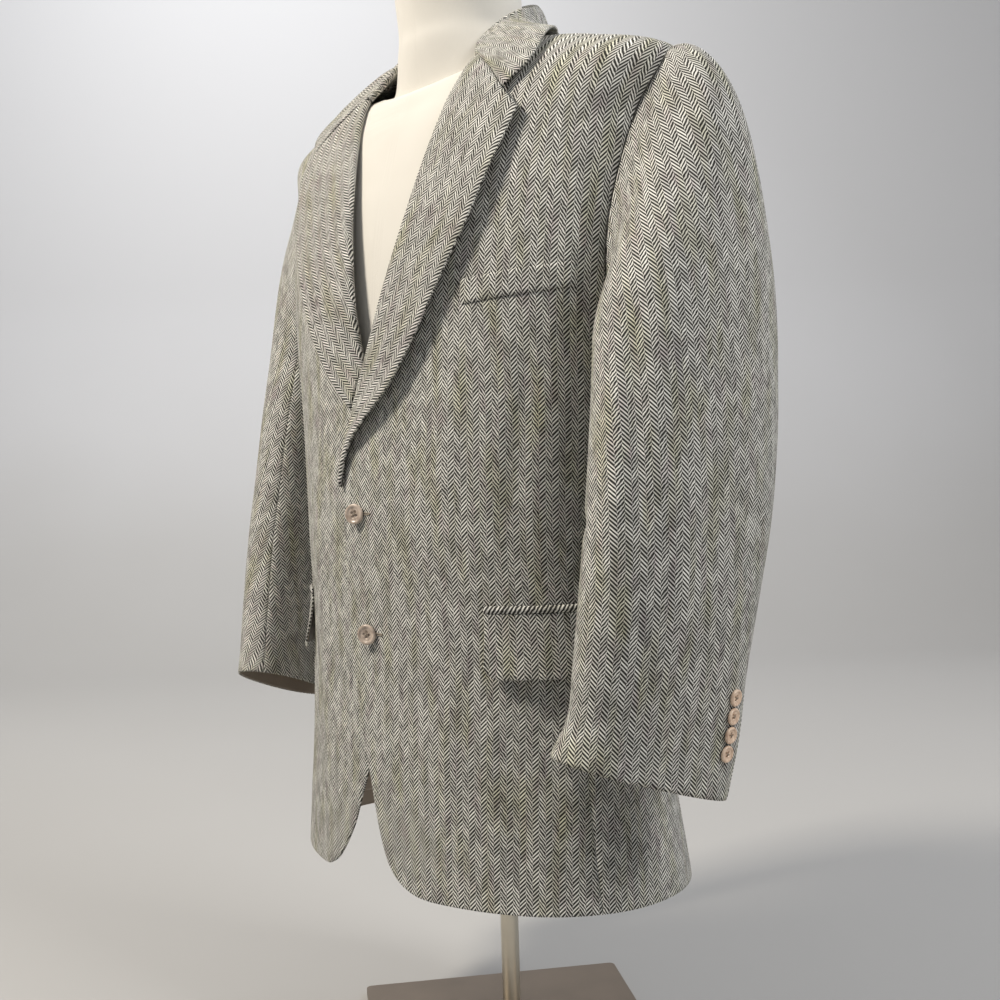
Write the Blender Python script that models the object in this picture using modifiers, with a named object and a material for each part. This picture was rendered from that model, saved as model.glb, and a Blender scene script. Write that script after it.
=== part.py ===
"""Single-breasted tweed hacking jacket, buttoned once over a limbless dress form on a steel stand.

The cloth is cut in panels that follow one body surface: rings from the hem to the collar stand,
with a place on it given by degrees round from the centre front and by ring number. Each piece is
an open surface thickened by Solidify. The wearer's left is +X, the front faces -Y, and the origin
is on the base's underside, below the middle of the hem. Tables and sizes are in millimetres,
with heights from the hem.
"""

import math

import bmesh
import bpy
import numpy as np
from mathutils import Matrix, Vector

MM = 0.001

# Driving dimensions, millimetres
HEM_HEIGHT = 212.0  # hem above the base's underside
CLOTH = 1.8  # wall of the tweed with its lining
SEAM_GAP = 0.46  # gap left at each seam
SLEEVE_GAP = 0.6  # and at the two seams down a sleeve
CLEAR = 0.7  # gap under a piece laid on a panel
FRONT_BUTTON = 20.0
CUFF_BUTTON = 15.0
CUFF_BUTTONS = 4
CUFF_BUTTON_RISE = 41.0  # lowest cuff button above the cuff edge
CUFF_BUTTON_STEP = 16.4
VENT_RING = 1.65  # side vents open below this ring
UNDERLAP = 13.0  # degrees of side panel that run on behind a vent
SHOULDER_LEAN = 12.0  # the left shoulder sits this much higher and the right one lower
POLE_RADIUS = 9.5
POLE_Y = 22.0
BASE_SIDE = 295.0
BASE_THICK = 8.0
BASE_CORNER = 6.0
BASE_TURN = -35.0  # degrees the base is turned about the pole

# Rings of the jacket body: heights at the side, front and back, half width, depths to the
# front and back of the middle, squareness of the oval, and how far its middle lies back.
# side, front, back, half_width, fore, aft, squareness, middle_y
BODY_RINGS = (
    (0, 0, 0, 232, 154, 147, 2.14, 0),
    (120, 120, 120, 214, 153, 132, 2.16, 0),
    (240, 240, 240, 208, 150, 126, 2.16, 0),
    (355, 355, 355, 206, 153, 121, 2.16, 0),
    (460, 460, 460, 217, 146, 124, 2.20, 0),
    (560, 556, 560, 228, 141, 130, 2.26, 0),
    (640, 630, 645, 237, 132, 128, 2.32, 3),
    (705, 685, 715, 246, 119, 116, 2.30, 6),
    (758, 731, 767, 256, 102, 102, 2.20, 6),
    (790, 759, 799, 175, 86, 86, 2.10, 2),
    (813, 783, 827, 88, 72, 72, 2.00, -4),
    (845, 812, 872, 78, 66, 64, 2.00, -2),
)
LAST_RING = len(BODY_RINGS) - 1
SHOULDER_RING = 8.0
NECK_RING = 10.0
SEAM_RING = 5.12  # where the side seams reach the armhole

# Left armhole from the shoulder point round the front, underarm and back: degrees, ring
ARMHOLE = (
    (90.0, 8.00), (84.5, 7.78), (80.0, 7.40), (76.5, 6.95), (73.8, 6.45), (72.0, 5.95),
    (71.5, 5.50), (72.8, 5.12), (76.5, 4.88), (83.0, 4.74), (90.0, 4.70), (97.0, 4.74),
    (104.0, 4.88), (109.0, 5.12), (112.0, 5.50), (113.0, 5.95), (111.5, 6.45), (108.0, 6.95),
    (103.0, 7.40), (96.5, 7.78),
)
ARMHOLE_FRONT = 7  # row of ARMHOLE at the front side seam
ARMHOLE_BACK = 13  # row of ARMHOLE at the back side seam

# Side seams: ring, degrees
FRONT_SEAM = ((0, 66), (2.5, 68), (5.12, 72.8))
BACK_SEAM = ((0, 122), (2.5, 120), (5.12, 109))

# Edge of each front, from the rounded hem corner up the opening and the roll line to the
# shoulder's neck point: distance from the middle towards the panel's own side, height
LEFT_EDGE = (
    (72, 0), (53, 2), (36, 8), (24, 17), (14, 31), (7, 50), (1, 72), (-5, 100), (-15, 140),
    (-27, 190), (-35, 245), (-36, 300), (-36, 383), (-33, 415), (-20, 450), (-7, 483),
    (9, 520), (24, 560), (37, 600), (49, 640), (59, 685), (69, 730), (77, 762), (85, 788),
)
RIGHT_EDGE = (
    (104, 0), (88, 2), (73, 10), (62, 21), (50, 37), (38, 56), (27, 80), (16, 104), (4, 140),
    (-5, 180), (-11, 225), (-13, 280), (-13, 383), (-8, 420), (0, 460), (8, 492), (17, 532),
    (26, 575), (35, 615), (45, 655), (56, 695), (67, 734), (77, 764), (85, 788),
)
# The neckline from the roll line to the shoulder seam: degrees, ring
NECKLINE = ((55, 9.73), (69, 9.87), (84, 10.0))

# Free edges of the folded lapels, from the break to the tip: distance from the middle, height
LEFT_LAPEL_EDGE = ((-22, 423), (9, 447), (38, 477), (58, 502), (76, 529), (93, 560), (112, 597),
                   (130, 636), (147, 682), (159, 716))
RIGHT_LAPEL_EDGE = ((40, 483), (57, 503), (76, 531), (93, 561), (112, 597), (130, 637), (148, 684),
                    (159, 716))
LEFT_BREAK_RING = 3.5
RIGHT_BREAK_RING = 4.5
GORGE_TOP = (85.0, 787.5)  # the gorge seam runs from here to the notch
NOTCH = (139.0, 736.0)
GORGE_RING = 9.6
LAPEL_LOW = 3.6  # height of the lapel's middle at the roll line
LAPEL_HIGH = 5.6  # and where it swells most

# Collar from the gorge round to the centre back: degrees of the neck seam, then degrees and
# ring of the fold and of the outer edge; the first row's leaf lies along the gorge
# foot_degrees, fold_degrees, fold_ring, edge_degrees, edge_ring
COLLAR = (
    (51.0, 46.5, 9.82, 31.2, 8.02),
    (53.0, 49.0, 9.93, 39.0, 8.30),
    (56.0, 54.0, 10.06, 46.5, 8.58),
    (64.0, 64.0, 10.27, 58.0, 9.05),
    (76.0, 76.0, 10.55, 71.0, 9.36),
    (92.0, 92.0, 10.80, 89.0, 9.60),
    (110.0, 110.0, 10.92, 108.0, 9.66),
    (132.0, 132.0, 10.97, 131.0, 9.63),
    (156.0, 156.0, 10.99, 156.0, 9.60),
    (180.0, 180.0, 10.99, 180.0, 9.60),
)
COLLAR_SEAM_RISE = 0.03  # rings between the panels' neckline and the collar's foot

# Sleeves: middle x, y and height, half width front to back, half thickness, and how far
# the wide way turns outward, for the sleeve below the underarm
# x, y, height, half_wide, half_thick, turn
LEFT_SLEEVE = (
    (286, -20, 500, 92, 52, 8),
    (291, -30, 440, 93, 48, 10),
    (293, -42, 370, 91, 44, 13),
    (290, -54, 300, 86, 41, 16),
    (283, -62, 230, 81, 38, 20),
    (276, -64, 180, 80, 36, 23),
    (268, -76, 136, 84, 35, 25),
)
RIGHT_SLEEVE = (
    (286, 34, 500, 92, 52, 8),
    (289, 21, 440, 93, 48, 10),
    (290, 3, 370, 91, 44, 13),
    (288, -19, 300, 86, 41, 16),
    (282, -41, 230, 81, 38, 20),
    (276, -55, 180, 80, 36, 23),
    (271, -64, 152, 82, 35, 25),
)
SLEEVE_SQUARENESS = 2.3
LEFT_TWIST = 0.0  # degrees the sleeve turns below the armhole
RIGHT_TWIST = -16.0
LINING_DEPTH = 7.0  # skirt lining, inside the outer face
GORGE_ROWS = 5  # rows of the collar whose leaf runs straight along the gorge
FRONT_SEAM_COLUMN = 9  # each sleeve seam follows this column of armhole points
BACK_SEAM_COLUMN = 20

# Pockets on the left, mirrored on the right where a pair
POCKET_TOP = 278.0
JET_DEPTH = 6.5
FLAP_DEPTH = 58.0
FLAP_LENGTH = 155.0
FLAP_CORNER = 13.0
POCKET_START = 37.0  # degrees
# Breast welt: lower front, lower side, upper side, upper front corners, x and height
WELT = ((116, 551), (205, 561), (206, 583), (116, 573))

# Dress form: ring and how far it lies inside the jacket body
FORM_RINGS = (
    (1.45, 26), (1.55, 17), (2.0, 15), (3.0, 14), (4.0, 14), (5.0, 13), (5.8, 11), (6.5, 9),
    (7.1, 7.2), (7.6, 5.0), (8.0, 3.3), (8.35, 2.75), (8.75, 2.75), (9.2, 2.9), (9.46, 4.2),
    (9.7, 9), (9.9, 15),
)
# Neck of the form: height, half width, half depth, middle y
FORM_NECK = ((826, 70, 61, -7), (846, 66, 60, -8), (880, 65, 62, -11), (928, 66, 64, -14),
             (936, 61, 59, -14.5), (939, 50, 48, -15))

FORM_COLUMNS = 36
LOW_RINGS = (0, 0.02, 0.08, 0.18, 0.34, 0.6, 0.95, 1.3, 1.65, 2.1, 2.6, 3.1, 3.6, 4.05, 4.55,
             SEAM_RING)
HIGH_RINGS = (8.35, 8.75, 9.2, 9.46, 9.63, 9.73, 9.87, NECK_RING)


def smooth_rows(table, at):
    """Values of a table between its rows, by a Catmull-Rom curve."""
    table = np.asarray(table, float)
    last = len(table) - 1
    at = np.clip(np.asarray(at, float), 0.0, last)
    i = np.clip(np.floor(at).astype(int), 0, last - 1)
    f = (at - i)[..., None]
    p1, p2 = table[i], table[i + 1]
    p0 = np.where((i > 0)[..., None], table[np.maximum(i - 1, 0)], 2 * p1 - p2)
    p3 = np.where((i + 2 <= last)[..., None], table[np.minimum(i + 2, last)], 2 * p2 - p1)
    m1, m2 = (p2 - p0) / 2, (p3 - p1) / 2
    rise = 3 * f**2 - 2 * f**3
    return (1 - rise) * p1 + (f**3 - 2 * f**2 + f) * m1 + rise * p2 + (f**3 - f**2) * m2


def ease(value):
    """0 below 0, 1 above 1 and a smooth step between."""
    value = np.clip(value, 0.0, 1.0)
    return value * value * (3 - 2 * value)


def unit(vectors):
    return vectors / np.linalg.norm(vectors, axis=-1, keepdims=True)


def skin(degrees, ring):
    """Outer face of the jacket body, in millimetres above the hem."""
    degrees, ring = np.broadcast_arrays(np.asarray(degrees, float), np.asarray(ring, float))
    side, front, back, half, fore, aft, square, middle = np.moveaxis(
        smooth_rows(BODY_RINGS, ring), -1, 0)
    c, s = np.cos(np.radians(degrees)), np.sin(np.radians(degrees))
    power = 2.0 / square
    x = half * np.sign(s) * np.abs(s)**power
    y = middle - np.where(c >= 0, fore, aft) * np.sign(c) * np.abs(c)**power
    z = side + np.where(c >= 0, front - side, back - side) * c * c
    return np.stack([x, y, z], -1)


def skin_normal(degrees, ring):
    """Unit normal of the body surface, pointing outward."""
    degrees, ring = np.broadcast_arrays(np.asarray(degrees, float), np.asarray(ring, float))
    ring = np.clip(ring, 0.01, LAST_RING - 0.01)
    around = skin(degrees + 1.0, ring) - skin(degrees - 1.0, ring)
    up = skin(degrees, ring + 0.01) - skin(degrees, ring - 0.01)
    return unit(np.cross(around, up))


def on_skin(degrees, ring, out=0.0):
    """Points raised from the body's outer face by out."""
    out = np.asarray(out, float)
    return skin(degrees, ring) + skin_normal(degrees, ring) * out[..., None]


def front_place(x, height):
    """Degrees and ring of the front point at x and a height, found by Newton steps."""
    x, height = np.broadcast_arrays(np.asarray(x, float), np.asarray(height, float))
    heights = [row[1] for row in BODY_RINGS]
    ring = np.interp(height, heights, np.arange(len(heights)))
    degrees = np.degrees(np.arcsin(np.clip(x / 230.0, -0.95, 0.95)))
    for _ in range(16):
        here = skin(degrees, ring)
        across = (skin(degrees + 0.05, ring) - here) / 0.05
        up = (skin(degrees, ring + 0.002) - here) / 0.002
        dx, dz = x - here[..., 0], height - here[..., 2]
        spread = across[..., 0] * up[..., 2] - up[..., 0] * across[..., 2]
        degrees = degrees + np.clip((dx * up[..., 2] - up[..., 0] * dz) / spread, -6, 6)
        ring = ring + np.clip((across[..., 0] * dz - dx * across[..., 2]) / spread, -0.5, 0.5)
        degrees = np.clip(degrees, -88, 88)
        ring = np.clip(ring, 0.0, LAST_RING)
    return degrees, ring


def lean(points):
    """Raises the left shoulder and drops the right one, fading out down to the chest."""
    share = ease((points[..., 2] - 600) / 170) * points[..., 0] / BODY_RINGS[8][3]
    return points + np.array([0, 0, SHOULDER_LEAN]) * share[..., None]


def half_gap(degrees, ring, gap=SEAM_GAP):
    """Half of a seam's gap, in degrees round the body."""
    run = np.linalg.norm(skin(degrees + 0.5, ring) - skin(degrees - 0.5, ring), axis=-1)
    return 0.5 * gap / run


def even_curve(table, count):
    """count points evenly spaced along a smooth curve through a table's rows."""
    dense = smooth_rows(table, np.linspace(0, len(table) - 1, 30 * len(table)))
    run = np.concatenate([[0], np.cumsum(np.linalg.norm(np.diff(dense, axis=0), axis=1))])
    at = np.linspace(0, run[-1], count)
    return np.stack([np.interp(at, run, dense[:, c]) for c in range(dense.shape[1])], -1)


def armhole_points():
    """Degrees and rings of the armhole, closer together than its table: 26 points."""
    at = np.concatenate([np.linspace(0, ARMHOLE_FRONT, 11),
                         np.linspace(ARMHOLE_FRONT, ARMHOLE_BACK, 7)[1:],
                         np.linspace(ARMHOLE_BACK, len(ARMHOLE), 11)[1:-1]])
    return smooth_rows(ARMHOLE + (ARMHOLE[0],), at)


ARM = armhole_points()
FRONT_ARC = ARM[:11][::-1]  # from the side seam up to the shoulder point
UNDER_ARC = ARM[10:17]
BACK_ARC = np.vstack([ARM[16:], ARM[:1]])
COSINE_COLUMNS = 10


def cosine_spread(count):
    """Fractions from 0 to 1, closer together at both ends."""
    return 0.5 - 0.5 * np.cos(np.linspace(0, math.pi, count))


def edge_by_ring(edge):
    """A front edge's table as rings and degrees, with the neckline added."""
    x, height = np.array(edge, float).T
    degrees, ring = front_place(x, height)
    line = np.array(NECKLINE, float)
    return np.append(ring, line[:, 1]), np.append(degrees, line[:, 0])


def add_object(name, mesh, material, collection):
    piece = bpy.data.objects.new(name, mesh)
    mesh.materials.append(material)
    collection.objects.link(piece)
    return piece


def add_shell(name, grid, wall, material, collection, side=1):
    """A thin wall through a grid of points, rows by columns; side -1 mirrors it in x."""
    rows, columns = grid.shape[:2]
    points = lean(grid.reshape(-1, 3) * np.array([side, 1, 1])) + np.array([0, 0, HEM_HEIGHT])
    faces = []
    for corner in (r * columns + c for r in range(rows - 1) for c in range(columns - 1)):
        quad = (corner, corner + 1, corner + columns + 1, corner + columns)
        faces.append(quad if side > 0 else quad[::-1])
    mesh = bpy.data.meshes.new(name)
    mesh.from_pydata((points * MM).tolist(), [], faces)
    piece = add_object(name, mesh, material, collection)
    thicken = piece.modifiers.new("Wall", "SOLIDIFY")
    thicken.thickness = wall * MM
    thicken.offset = 0.0
    return piece


def strip(rings, first, last, columns, raised):
    """Rows at each ring between two edges given in degrees, at a height over the skin."""
    spread = cosine_spread(columns)[None, :]
    degrees = first[:, None] + (last - first)[:, None] * spread
    ring = np.repeat(rings[:, None], columns, axis=1)
    return on_skin(degrees, ring, raised(degrees, ring) - CLOTH / 2)


def no_rise(degrees, ring):
    return np.zeros_like(degrees)


def underlap_rise(degrees, ring):
    """The right front dips behind the left one from the hem to the top of the buttons."""
    place = skin(degrees, ring)
    across = ease((90 - place[..., 0]) / 50)
    return -(CLOTH + 1.0) * across * ease((565 - place[..., 2]) / 60)


def front_panel(edge, rise):
    rings = np.concatenate([LOW_RINGS, FRONT_ARC[1:, 1], HIGH_RINGS])
    edge_ring, edge_degrees = edge_by_ring(edge)
    first = np.interp(rings, edge_ring, edge_degrees)
    seam = np.array(FRONT_SEAM, float)
    low = np.interp(LOW_RINGS, seam[:, 0], seam[:, 1])
    low = low - half_gap(low, np.array(LOW_RINGS))
    high = np.full(len(HIGH_RINGS), 90.0) - half_gap(90.0, np.array(HIGH_RINGS))
    arc = FRONT_ARC[1:, 0].copy()
    arc[-1] -= half_gap(90.0, SHOULDER_RING)
    last = np.concatenate([low, arc, high])
    return strip(rings, first, last, COSINE_COLUMNS, rise)


def back_panel():
    rings = np.concatenate([LOW_RINGS, BACK_ARC[1:, 1], HIGH_RINGS])
    seam = np.array(BACK_SEAM, float)
    low = np.interp(LOW_RINGS, seam[:, 0], seam[:, 1])
    low = low + half_gap(low, np.array(LOW_RINGS))
    high = np.full(len(HIGH_RINGS), 90.0) + half_gap(90.0, np.array(HIGH_RINGS))
    arc = BACK_ARC[1:, 0].copy()
    arc[-1] += half_gap(90.0, SHOULDER_RING)
    first = np.concatenate([low, arc, high])
    last = 180.0 - half_gap(180.0, rings)
    return strip(rings, first, last, COSINE_COLUMNS, no_rise)


def side_panel():
    """The side body, whose back edge runs on behind the back panel below the vent's top."""
    low = np.array(LOW_RINGS)
    front = np.interp(low, *np.array(FRONT_SEAM, float).T)
    back = np.interp(low, *np.array(BACK_SEAM, float).T)
    front = front + half_gap(front, low)
    edge = back - half_gap(back, low)
    share = (UNDER_ARC[:-1, 0] - UNDER_ARC[0, 0]) / (UNDER_ARC[-1, 0] - UNDER_ARC[0, 0])
    body = front[:, None] + (edge - front)[:, None] * share[None, :]
    vent = low <= VENT_RING
    turn = edge - np.where(vent, 0.6, 1.6)
    hidden = np.where(vent, back + UNDERLAP, edge)
    degrees = np.hstack([body, turn[:, None], hidden[:, None]])
    top = np.concatenate([UNDER_ARC[:-1, 1], UNDER_ARC[-1:, 1], UNDER_ARC[-1:, 1]])
    ring = low[:, None] * top[None, :] / SEAM_RING
    dip = ease((degrees - back[:, None] + 7) / 6) * ease((2.5 - ring) / 0.4)
    return on_skin(degrees, ring, -(CLOTH + 1.2) * dip - CLOTH / 2)


def oval_rows(table, turn):
    """Rings of the lower sleeve at each turn round it, 0 at the back edge, 90 outward."""
    table = np.asarray(table, float)
    middle = table[:, :3]
    axis = unit(np.gradient(middle, axis=0))
    heading = np.radians(table[:, 5])
    wide = np.stack([np.sin(heading), np.cos(heading), 0 * heading], 1)
    wide = unit(wide - axis * (wide * axis).sum(1, keepdims=True))
    thick = np.cross(wide, axis)
    thick = thick * np.sign(thick[:, :1])
    power = 2.0 / SLEEVE_SQUARENESS
    c, s = np.cos(np.radians(turn)), np.sin(np.radians(turn))
    c, s = np.sign(c) * np.abs(c)**power, np.sign(s) * np.abs(s)**power
    return (middle[:, None] + table[:, 3, None, None] * c[None, :, None] * wide[:, None]
            + table[:, 4, None, None] * s[None, :, None] * thick[:, None])


def sleeve_grid(table, twist):
    """Rows from the armhole to the cuff; one column for each armhole point, top first."""
    spot = skin(ARM[:, 0], ARM[:, 1])
    normal = skin_normal(ARM[:, 0], ARM[:, 1])
    along = np.roll(spot, -1, axis=0) - np.roll(spot, 1, axis=0)
    inward = unit(np.cross(normal, along))
    towards = spot.mean(axis=0) - spot
    inward = inward * np.sign((inward * towards).sum(1, keepdims=True))
    start = spot + inward * 1.1 + normal * 0.8
    run = np.linalg.norm(np.diff(np.vstack([spot, spot[:1]]), axis=0), axis=1)
    share = np.concatenate([[0], np.cumsum(run)[:-1]]) / run.sum()
    turn = 90.0 + twist + 360.0 * share
    rings = oval_rows(table, turn)
    high = ease((spot[:, 2] - spot[:, 2].min()) / np.ptp(spot[:, 2]))[:, None]
    leave = unit(normal * 0.22 + np.array([0.75, 0, 0.0]))
    behind = ease((spot[:, 1:2] + 20) / 60)
    leave = leave * (40 + (145 + 70 * behind) * high)
    fall = unit(rings[1] - rings[0]) * (35 + 250 * high)
    rows = [start]
    for t in (0.08, 0.2, 0.36, 0.56, 0.78):
        rise = 3 * t**2 - 2 * t**3
        rows.append((1 - rise) * start + (t**3 - 2 * t**2 + t) * leave
                    + rise * rings[0] + (t**3 - t**2) * fall)
    below = smooth_rows(rings.reshape(len(rings), -1), np.linspace(0, len(rings) - 1, 8))
    rows.extend(below.reshape(8, -1, 3))
    return np.stack(rows)


def split_sleeve(grid):
    """Upper and under sleeve, parted in the middle of a facet at each of the two seams."""
    count = grid.shape[1]
    upper = [c % count for c in range(BACK_SEAM_COLUMN + 1, count + FRONT_SEAM_COLUMN + 1)]
    under = list(range(FRONT_SEAM_COLUMN + 1, BACK_SEAM_COLUMN + 1))
    pieces = []
    for columns, before, after in ((upper, BACK_SEAM_COLUMN, FRONT_SEAM_COLUMN + 1),
                                   (under, FRONT_SEAM_COLUMN, BACK_SEAM_COLUMN + 1)):
        first, last = grid[:, columns[0]], grid[:, columns[-1]]
        edges = []
        for inner, outer in ((first, grid[:, before]), (last, grid[:, after])):
            edges.append((inner + outer) / 2 + unit(inner - outer) * SLEEVE_GAP / 2)
        pieces.append(np.concatenate([edges[0][:, None], grid[:, columns], edges[1][:, None]],
                                     axis=1))
    return pieces


def bend(fold, normal, out, low, high, lead):
    """Half turn of a fold, from the under layer at low to the upper layer at high."""
    middle = fold + normal * (low + high) / 2 + out * lead
    radius = (high - low) / 2
    rows = []
    for angle in np.radians((-90, -45, 0, 45, 90)):
        rows.append(middle + radius * (out * math.cos(angle) + normal * math.sin(angle)))
    return np.stack(rows, 1)


def lapel_grid(front_edge, first_ring, free_edge, rise):
    """Rows up the lapel, level with its front panel's; columns round the roll and outward."""
    rings = np.concatenate([LOW_RINGS, FRONT_ARC[1:, 1], HIGH_RINGS])
    rings = rings[(rings > first_ring) & (rings < GORGE_RING)]
    degrees = np.interp(rings, *edge_by_ring(front_edge))
    fold = skin(degrees, rings)
    run = np.concatenate([[0], np.cumsum(np.linalg.norm(np.diff(fold, axis=0), axis=1))])
    outer = even_curve(free_edge, 200)
    outer = np.stack([np.interp(run / run[-1], np.linspace(0, 1, 200), outer[:, c])
                      for c in range(2)], -1)
    inner = fold[:, ::2].copy()
    inner[-1] = GORGE_TOP
    share = np.array([0.1, 0.28, 0.46, 0.64, 0.82, 1.0])
    place = inner[:, None] + (outer - inner)[:, None] * share[None, :, None]
    over_degrees, over_ring = front_place(place[..., 0], place[..., 1])
    swell = LAPEL_LOW + (LAPEL_HIGH - LAPEL_LOW) * np.sin(math.pi * (0.15 + 0.7 * share))
    over = on_skin(over_degrees, over_ring, swell[None, :] + rise(over_degrees, over_ring))
    normal = skin_normal(degrees, rings)
    fold = on_skin(degrees, rings, rise(degrees, rings))
    out = unit(fold - over[:, 0])
    out = unit(out - normal * (out * normal).sum(1, keepdims=True))
    turned = bend(fold, normal, out, -CLOTH / 2, LAPEL_LOW, SEAM_GAP + 1.0)
    start = (fold - normal * CLOTH / 2 + out * SEAM_GAP)[:, None]
    return np.concatenate([start, turned, over], axis=1)


def neck_seam(degrees):
    """Ring of the neckline that the collar is sewn to."""
    line = np.array(((44.0, 9.63),) + NECKLINE + ((90.0, NECK_RING), (180.0, NECK_RING)), float)
    return np.interp(degrees, line[:, 0], line[:, 1]) + COLLAR_SEAM_RISE


def collar_grid():
    """Rows round the neck from the left gorge to the right; columns from seam to edge."""
    half = np.array(COLLAR, float)
    at = np.concatenate([np.linspace(0, 2, 4), np.linspace(2, len(half) - 1, 11)[1:]])
    half = smooth_rows(half, at)
    foot = np.stack([half[:, 0], neck_seam(half[:, 0])], -1)
    fold, edge = half[:, 1:3], half[:, 3:5]
    stand_share = np.array([0.0, 0.5, 1.0])
    stand = foot[:, None] + (fold - foot)[:, None] * stand_share[None, :, None]
    under = on_skin(stand[..., 0], stand[..., 1], np.full(stand.shape[:2], -CLOTH / 2))
    share = np.array([0.14, 0.32, 0.5, 0.68, 0.84, 1.0])
    leaf = fold[:, None] + (edge - fold)[:, None] * share[None, :, None]
    degrees, ring = leaf[..., 0].copy(), leaf[..., 1].copy()
    top = skin(*fold[:GORGE_ROWS].T)[:, ::2]
    free = skin(*edge[:GORGE_ROWS].T)[:, ::2]
    along = unit(np.array(NOTCH) - np.array(GORGE_TOP))
    above = np.array([-along[1], along[0]]) * SEAM_GAP
    top[0] = np.array(GORGE_TOP) + above
    free[0] = np.array(NOTCH) + above
    straight = top[:, None] + (free - top)[:, None] * share[None, :, None]
    front_degrees, front_ring = front_place(straight[..., 0], straight[..., 1])
    mix = ease(np.arange(GORGE_ROWS) / GORGE_ROWS)[:, None]
    degrees[:GORGE_ROWS] = front_degrees + (degrees[:GORGE_ROWS] - front_degrees) * mix
    ring[:GORGE_ROWS] = front_ring + (ring[:GORGE_ROWS] - front_ring) * mix
    swell = LAPEL_LOW + 3.0 * np.sin(math.pi * share)
    over = on_skin(degrees, ring, np.repeat(swell[None, :], len(half), axis=0))
    place = skin(fold[:, 0], fold[:, 1])
    normal = skin_normal(fold[:, 0], fold[:, 1])
    out = unit(place - skin(foot[:, 0], foot[:, 1]))
    out = unit(out - normal * (out * normal).sum(1, keepdims=True))
    turned = bend(place, normal, out, -CLOTH / 2, LAPEL_LOW, 0.0)
    left = np.concatenate([under[:, :-1], turned, over], axis=1)
    right = left[:-1][::-1] * np.array([-1, 1, 1])
    return np.concatenate([left, right], axis=0)


def ring_at(height):
    """Ring number at a height below the chest, where the rings are level."""
    return np.interp(height, [row[0] for row in BODY_RINGS[:5]], np.arange(5))


def round_the_hip(start, length, count):
    """Degrees spread evenly over a length round the hip, from a starting place."""
    degrees = np.linspace(start, start + 90, 400)
    place = skin(degrees, ring_at(POCKET_TOP - 30))
    run = np.concatenate([[0], np.cumsum(np.linalg.norm(np.diff(place, axis=0), axis=1))])
    along = length * cosine_spread(count)
    return np.interp(along, run, degrees), along


def hip_strip(top, depth, corner, lift, hang, rows):
    """A strip of cloth round the hip with its lower corners rounded off."""
    degrees, along = round_the_hip(POCKET_START, FLAP_LENGTH, 13)
    inset = np.clip(corner - np.minimum(along, FLAP_LENGTH - along), 0, corner)
    bottom = top - depth + corner - np.sqrt(corner**2 - inset**2)
    drop = np.linspace(0, 1, rows)[:, None]
    height = top + (bottom - top)[None, :] * drop
    out = lift + (hang - lift) * drop + np.zeros_like(height)
    return on_skin(np.repeat(degrees[None, :], rows, axis=0), ring_at(height), out)[::-1]


def welt_grid():
    corners = np.array(WELT, float)
    across = cosine_spread(8)[None, :, None]
    up = np.linspace(0, 1, 4)[:, None, None]
    lower = corners[0] + (corners[1] - corners[0]) * across
    upper = corners[3] + (corners[2] - corners[3]) * across
    place = lower + (upper - lower) * up
    degrees, ring = front_place(place[..., 0], place[..., 1])
    return on_skin(degrees, ring, np.full(degrees.shape, CLEAR + CLOTH / 2))


def lining_grid():
    """Lining of the skirt round the back, its hem just above the jacket's own."""
    rings = np.linspace(0.17, 1.5, 5)
    degrees = np.linspace(68, 292, 23)
    degrees, rings = np.meshgrid(degrees, rings)
    return on_skin(degrees, rings, np.full(degrees.shape, -LINING_DEPTH))


def form_rings(count):
    """Rings of the dress form from the hips up to the top of the neck."""
    turn = np.linspace(0, 360, count, endpoint=False)
    c, s = np.cos(np.radians(turn)), np.sin(np.radians(turn))
    rows = [on_skin(turn, ring, -inset - 0.6 * ease(-3 * c)) for ring, inset in FORM_RINGS]
    rows[0][:, 2] = rows[0][:, 2].min()
    for height, wide, deep, middle in FORM_NECK:
        tilt = 10 * (1 - (height - FORM_NECK[0][0]) / (FORM_NECK[-1][0] - FORM_NECK[0][0]))
        rows.append(np.stack([wide * s, middle - deep * c, height - tilt * c], 1))
    return np.stack(rows)


def add_form(material, collection):
    grid = form_rings(FORM_COLUMNS)
    rows, columns = grid.shape[:2]
    points = (lean(grid.reshape(-1, 3)) + np.array([0, 0, HEM_HEIGHT])) * MM
    faces = [(r * columns + c, r * columns + (c + 1) % columns,
              (r + 1) * columns + (c + 1) % columns, (r + 1) * columns + c)
             for r in range(rows - 1) for c in range(columns)]
    faces.append(tuple(range(columns))[::-1])
    faces.append(tuple((rows - 1) * columns + c for c in range(columns)))
    mesh = bpy.data.meshes.new("form_torso")
    mesh.from_pydata(points.tolist(), [], faces)
    mesh.shade_smooth()
    return add_object("form_torso", mesh, material, collection)


def button_profile(diameter):
    """Half section of a rimmed button, from the middle of its top down to its back."""
    r = diameter / 2
    return [(0, 2.4), (0.6 * r, 2.4), (0.72 * r, 3.3), (0.9 * r, 3.3), (r, 2.2), (0.93 * r, 0.5),
            (0.8 * r, 0), (0, 0)]


def add_button(name, diameter, steps, place, normal, material, collection):
    profile = button_profile(diameter)
    mesh = bpy.data.meshes.new(name)
    mesh.from_pydata([(x * MM, 0, z * MM) for x, z in profile],
                     [(i, i + 1) for i in range(len(profile) - 1)], [])
    button = add_object(name, mesh, material, collection)
    turn = button.modifiers.new("Turn", "SCREW")
    turn.steps = steps
    turn.render_steps = steps
    turn.use_merge_vertices = True
    turn.merge_threshold = 0.00001
    button.location = (np.asarray(place) + np.array([0, 0, HEM_HEIGHT])) * MM
    button.rotation_euler = Vector(normal).to_track_quat("Z", "Y").to_euler()
    return button


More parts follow.
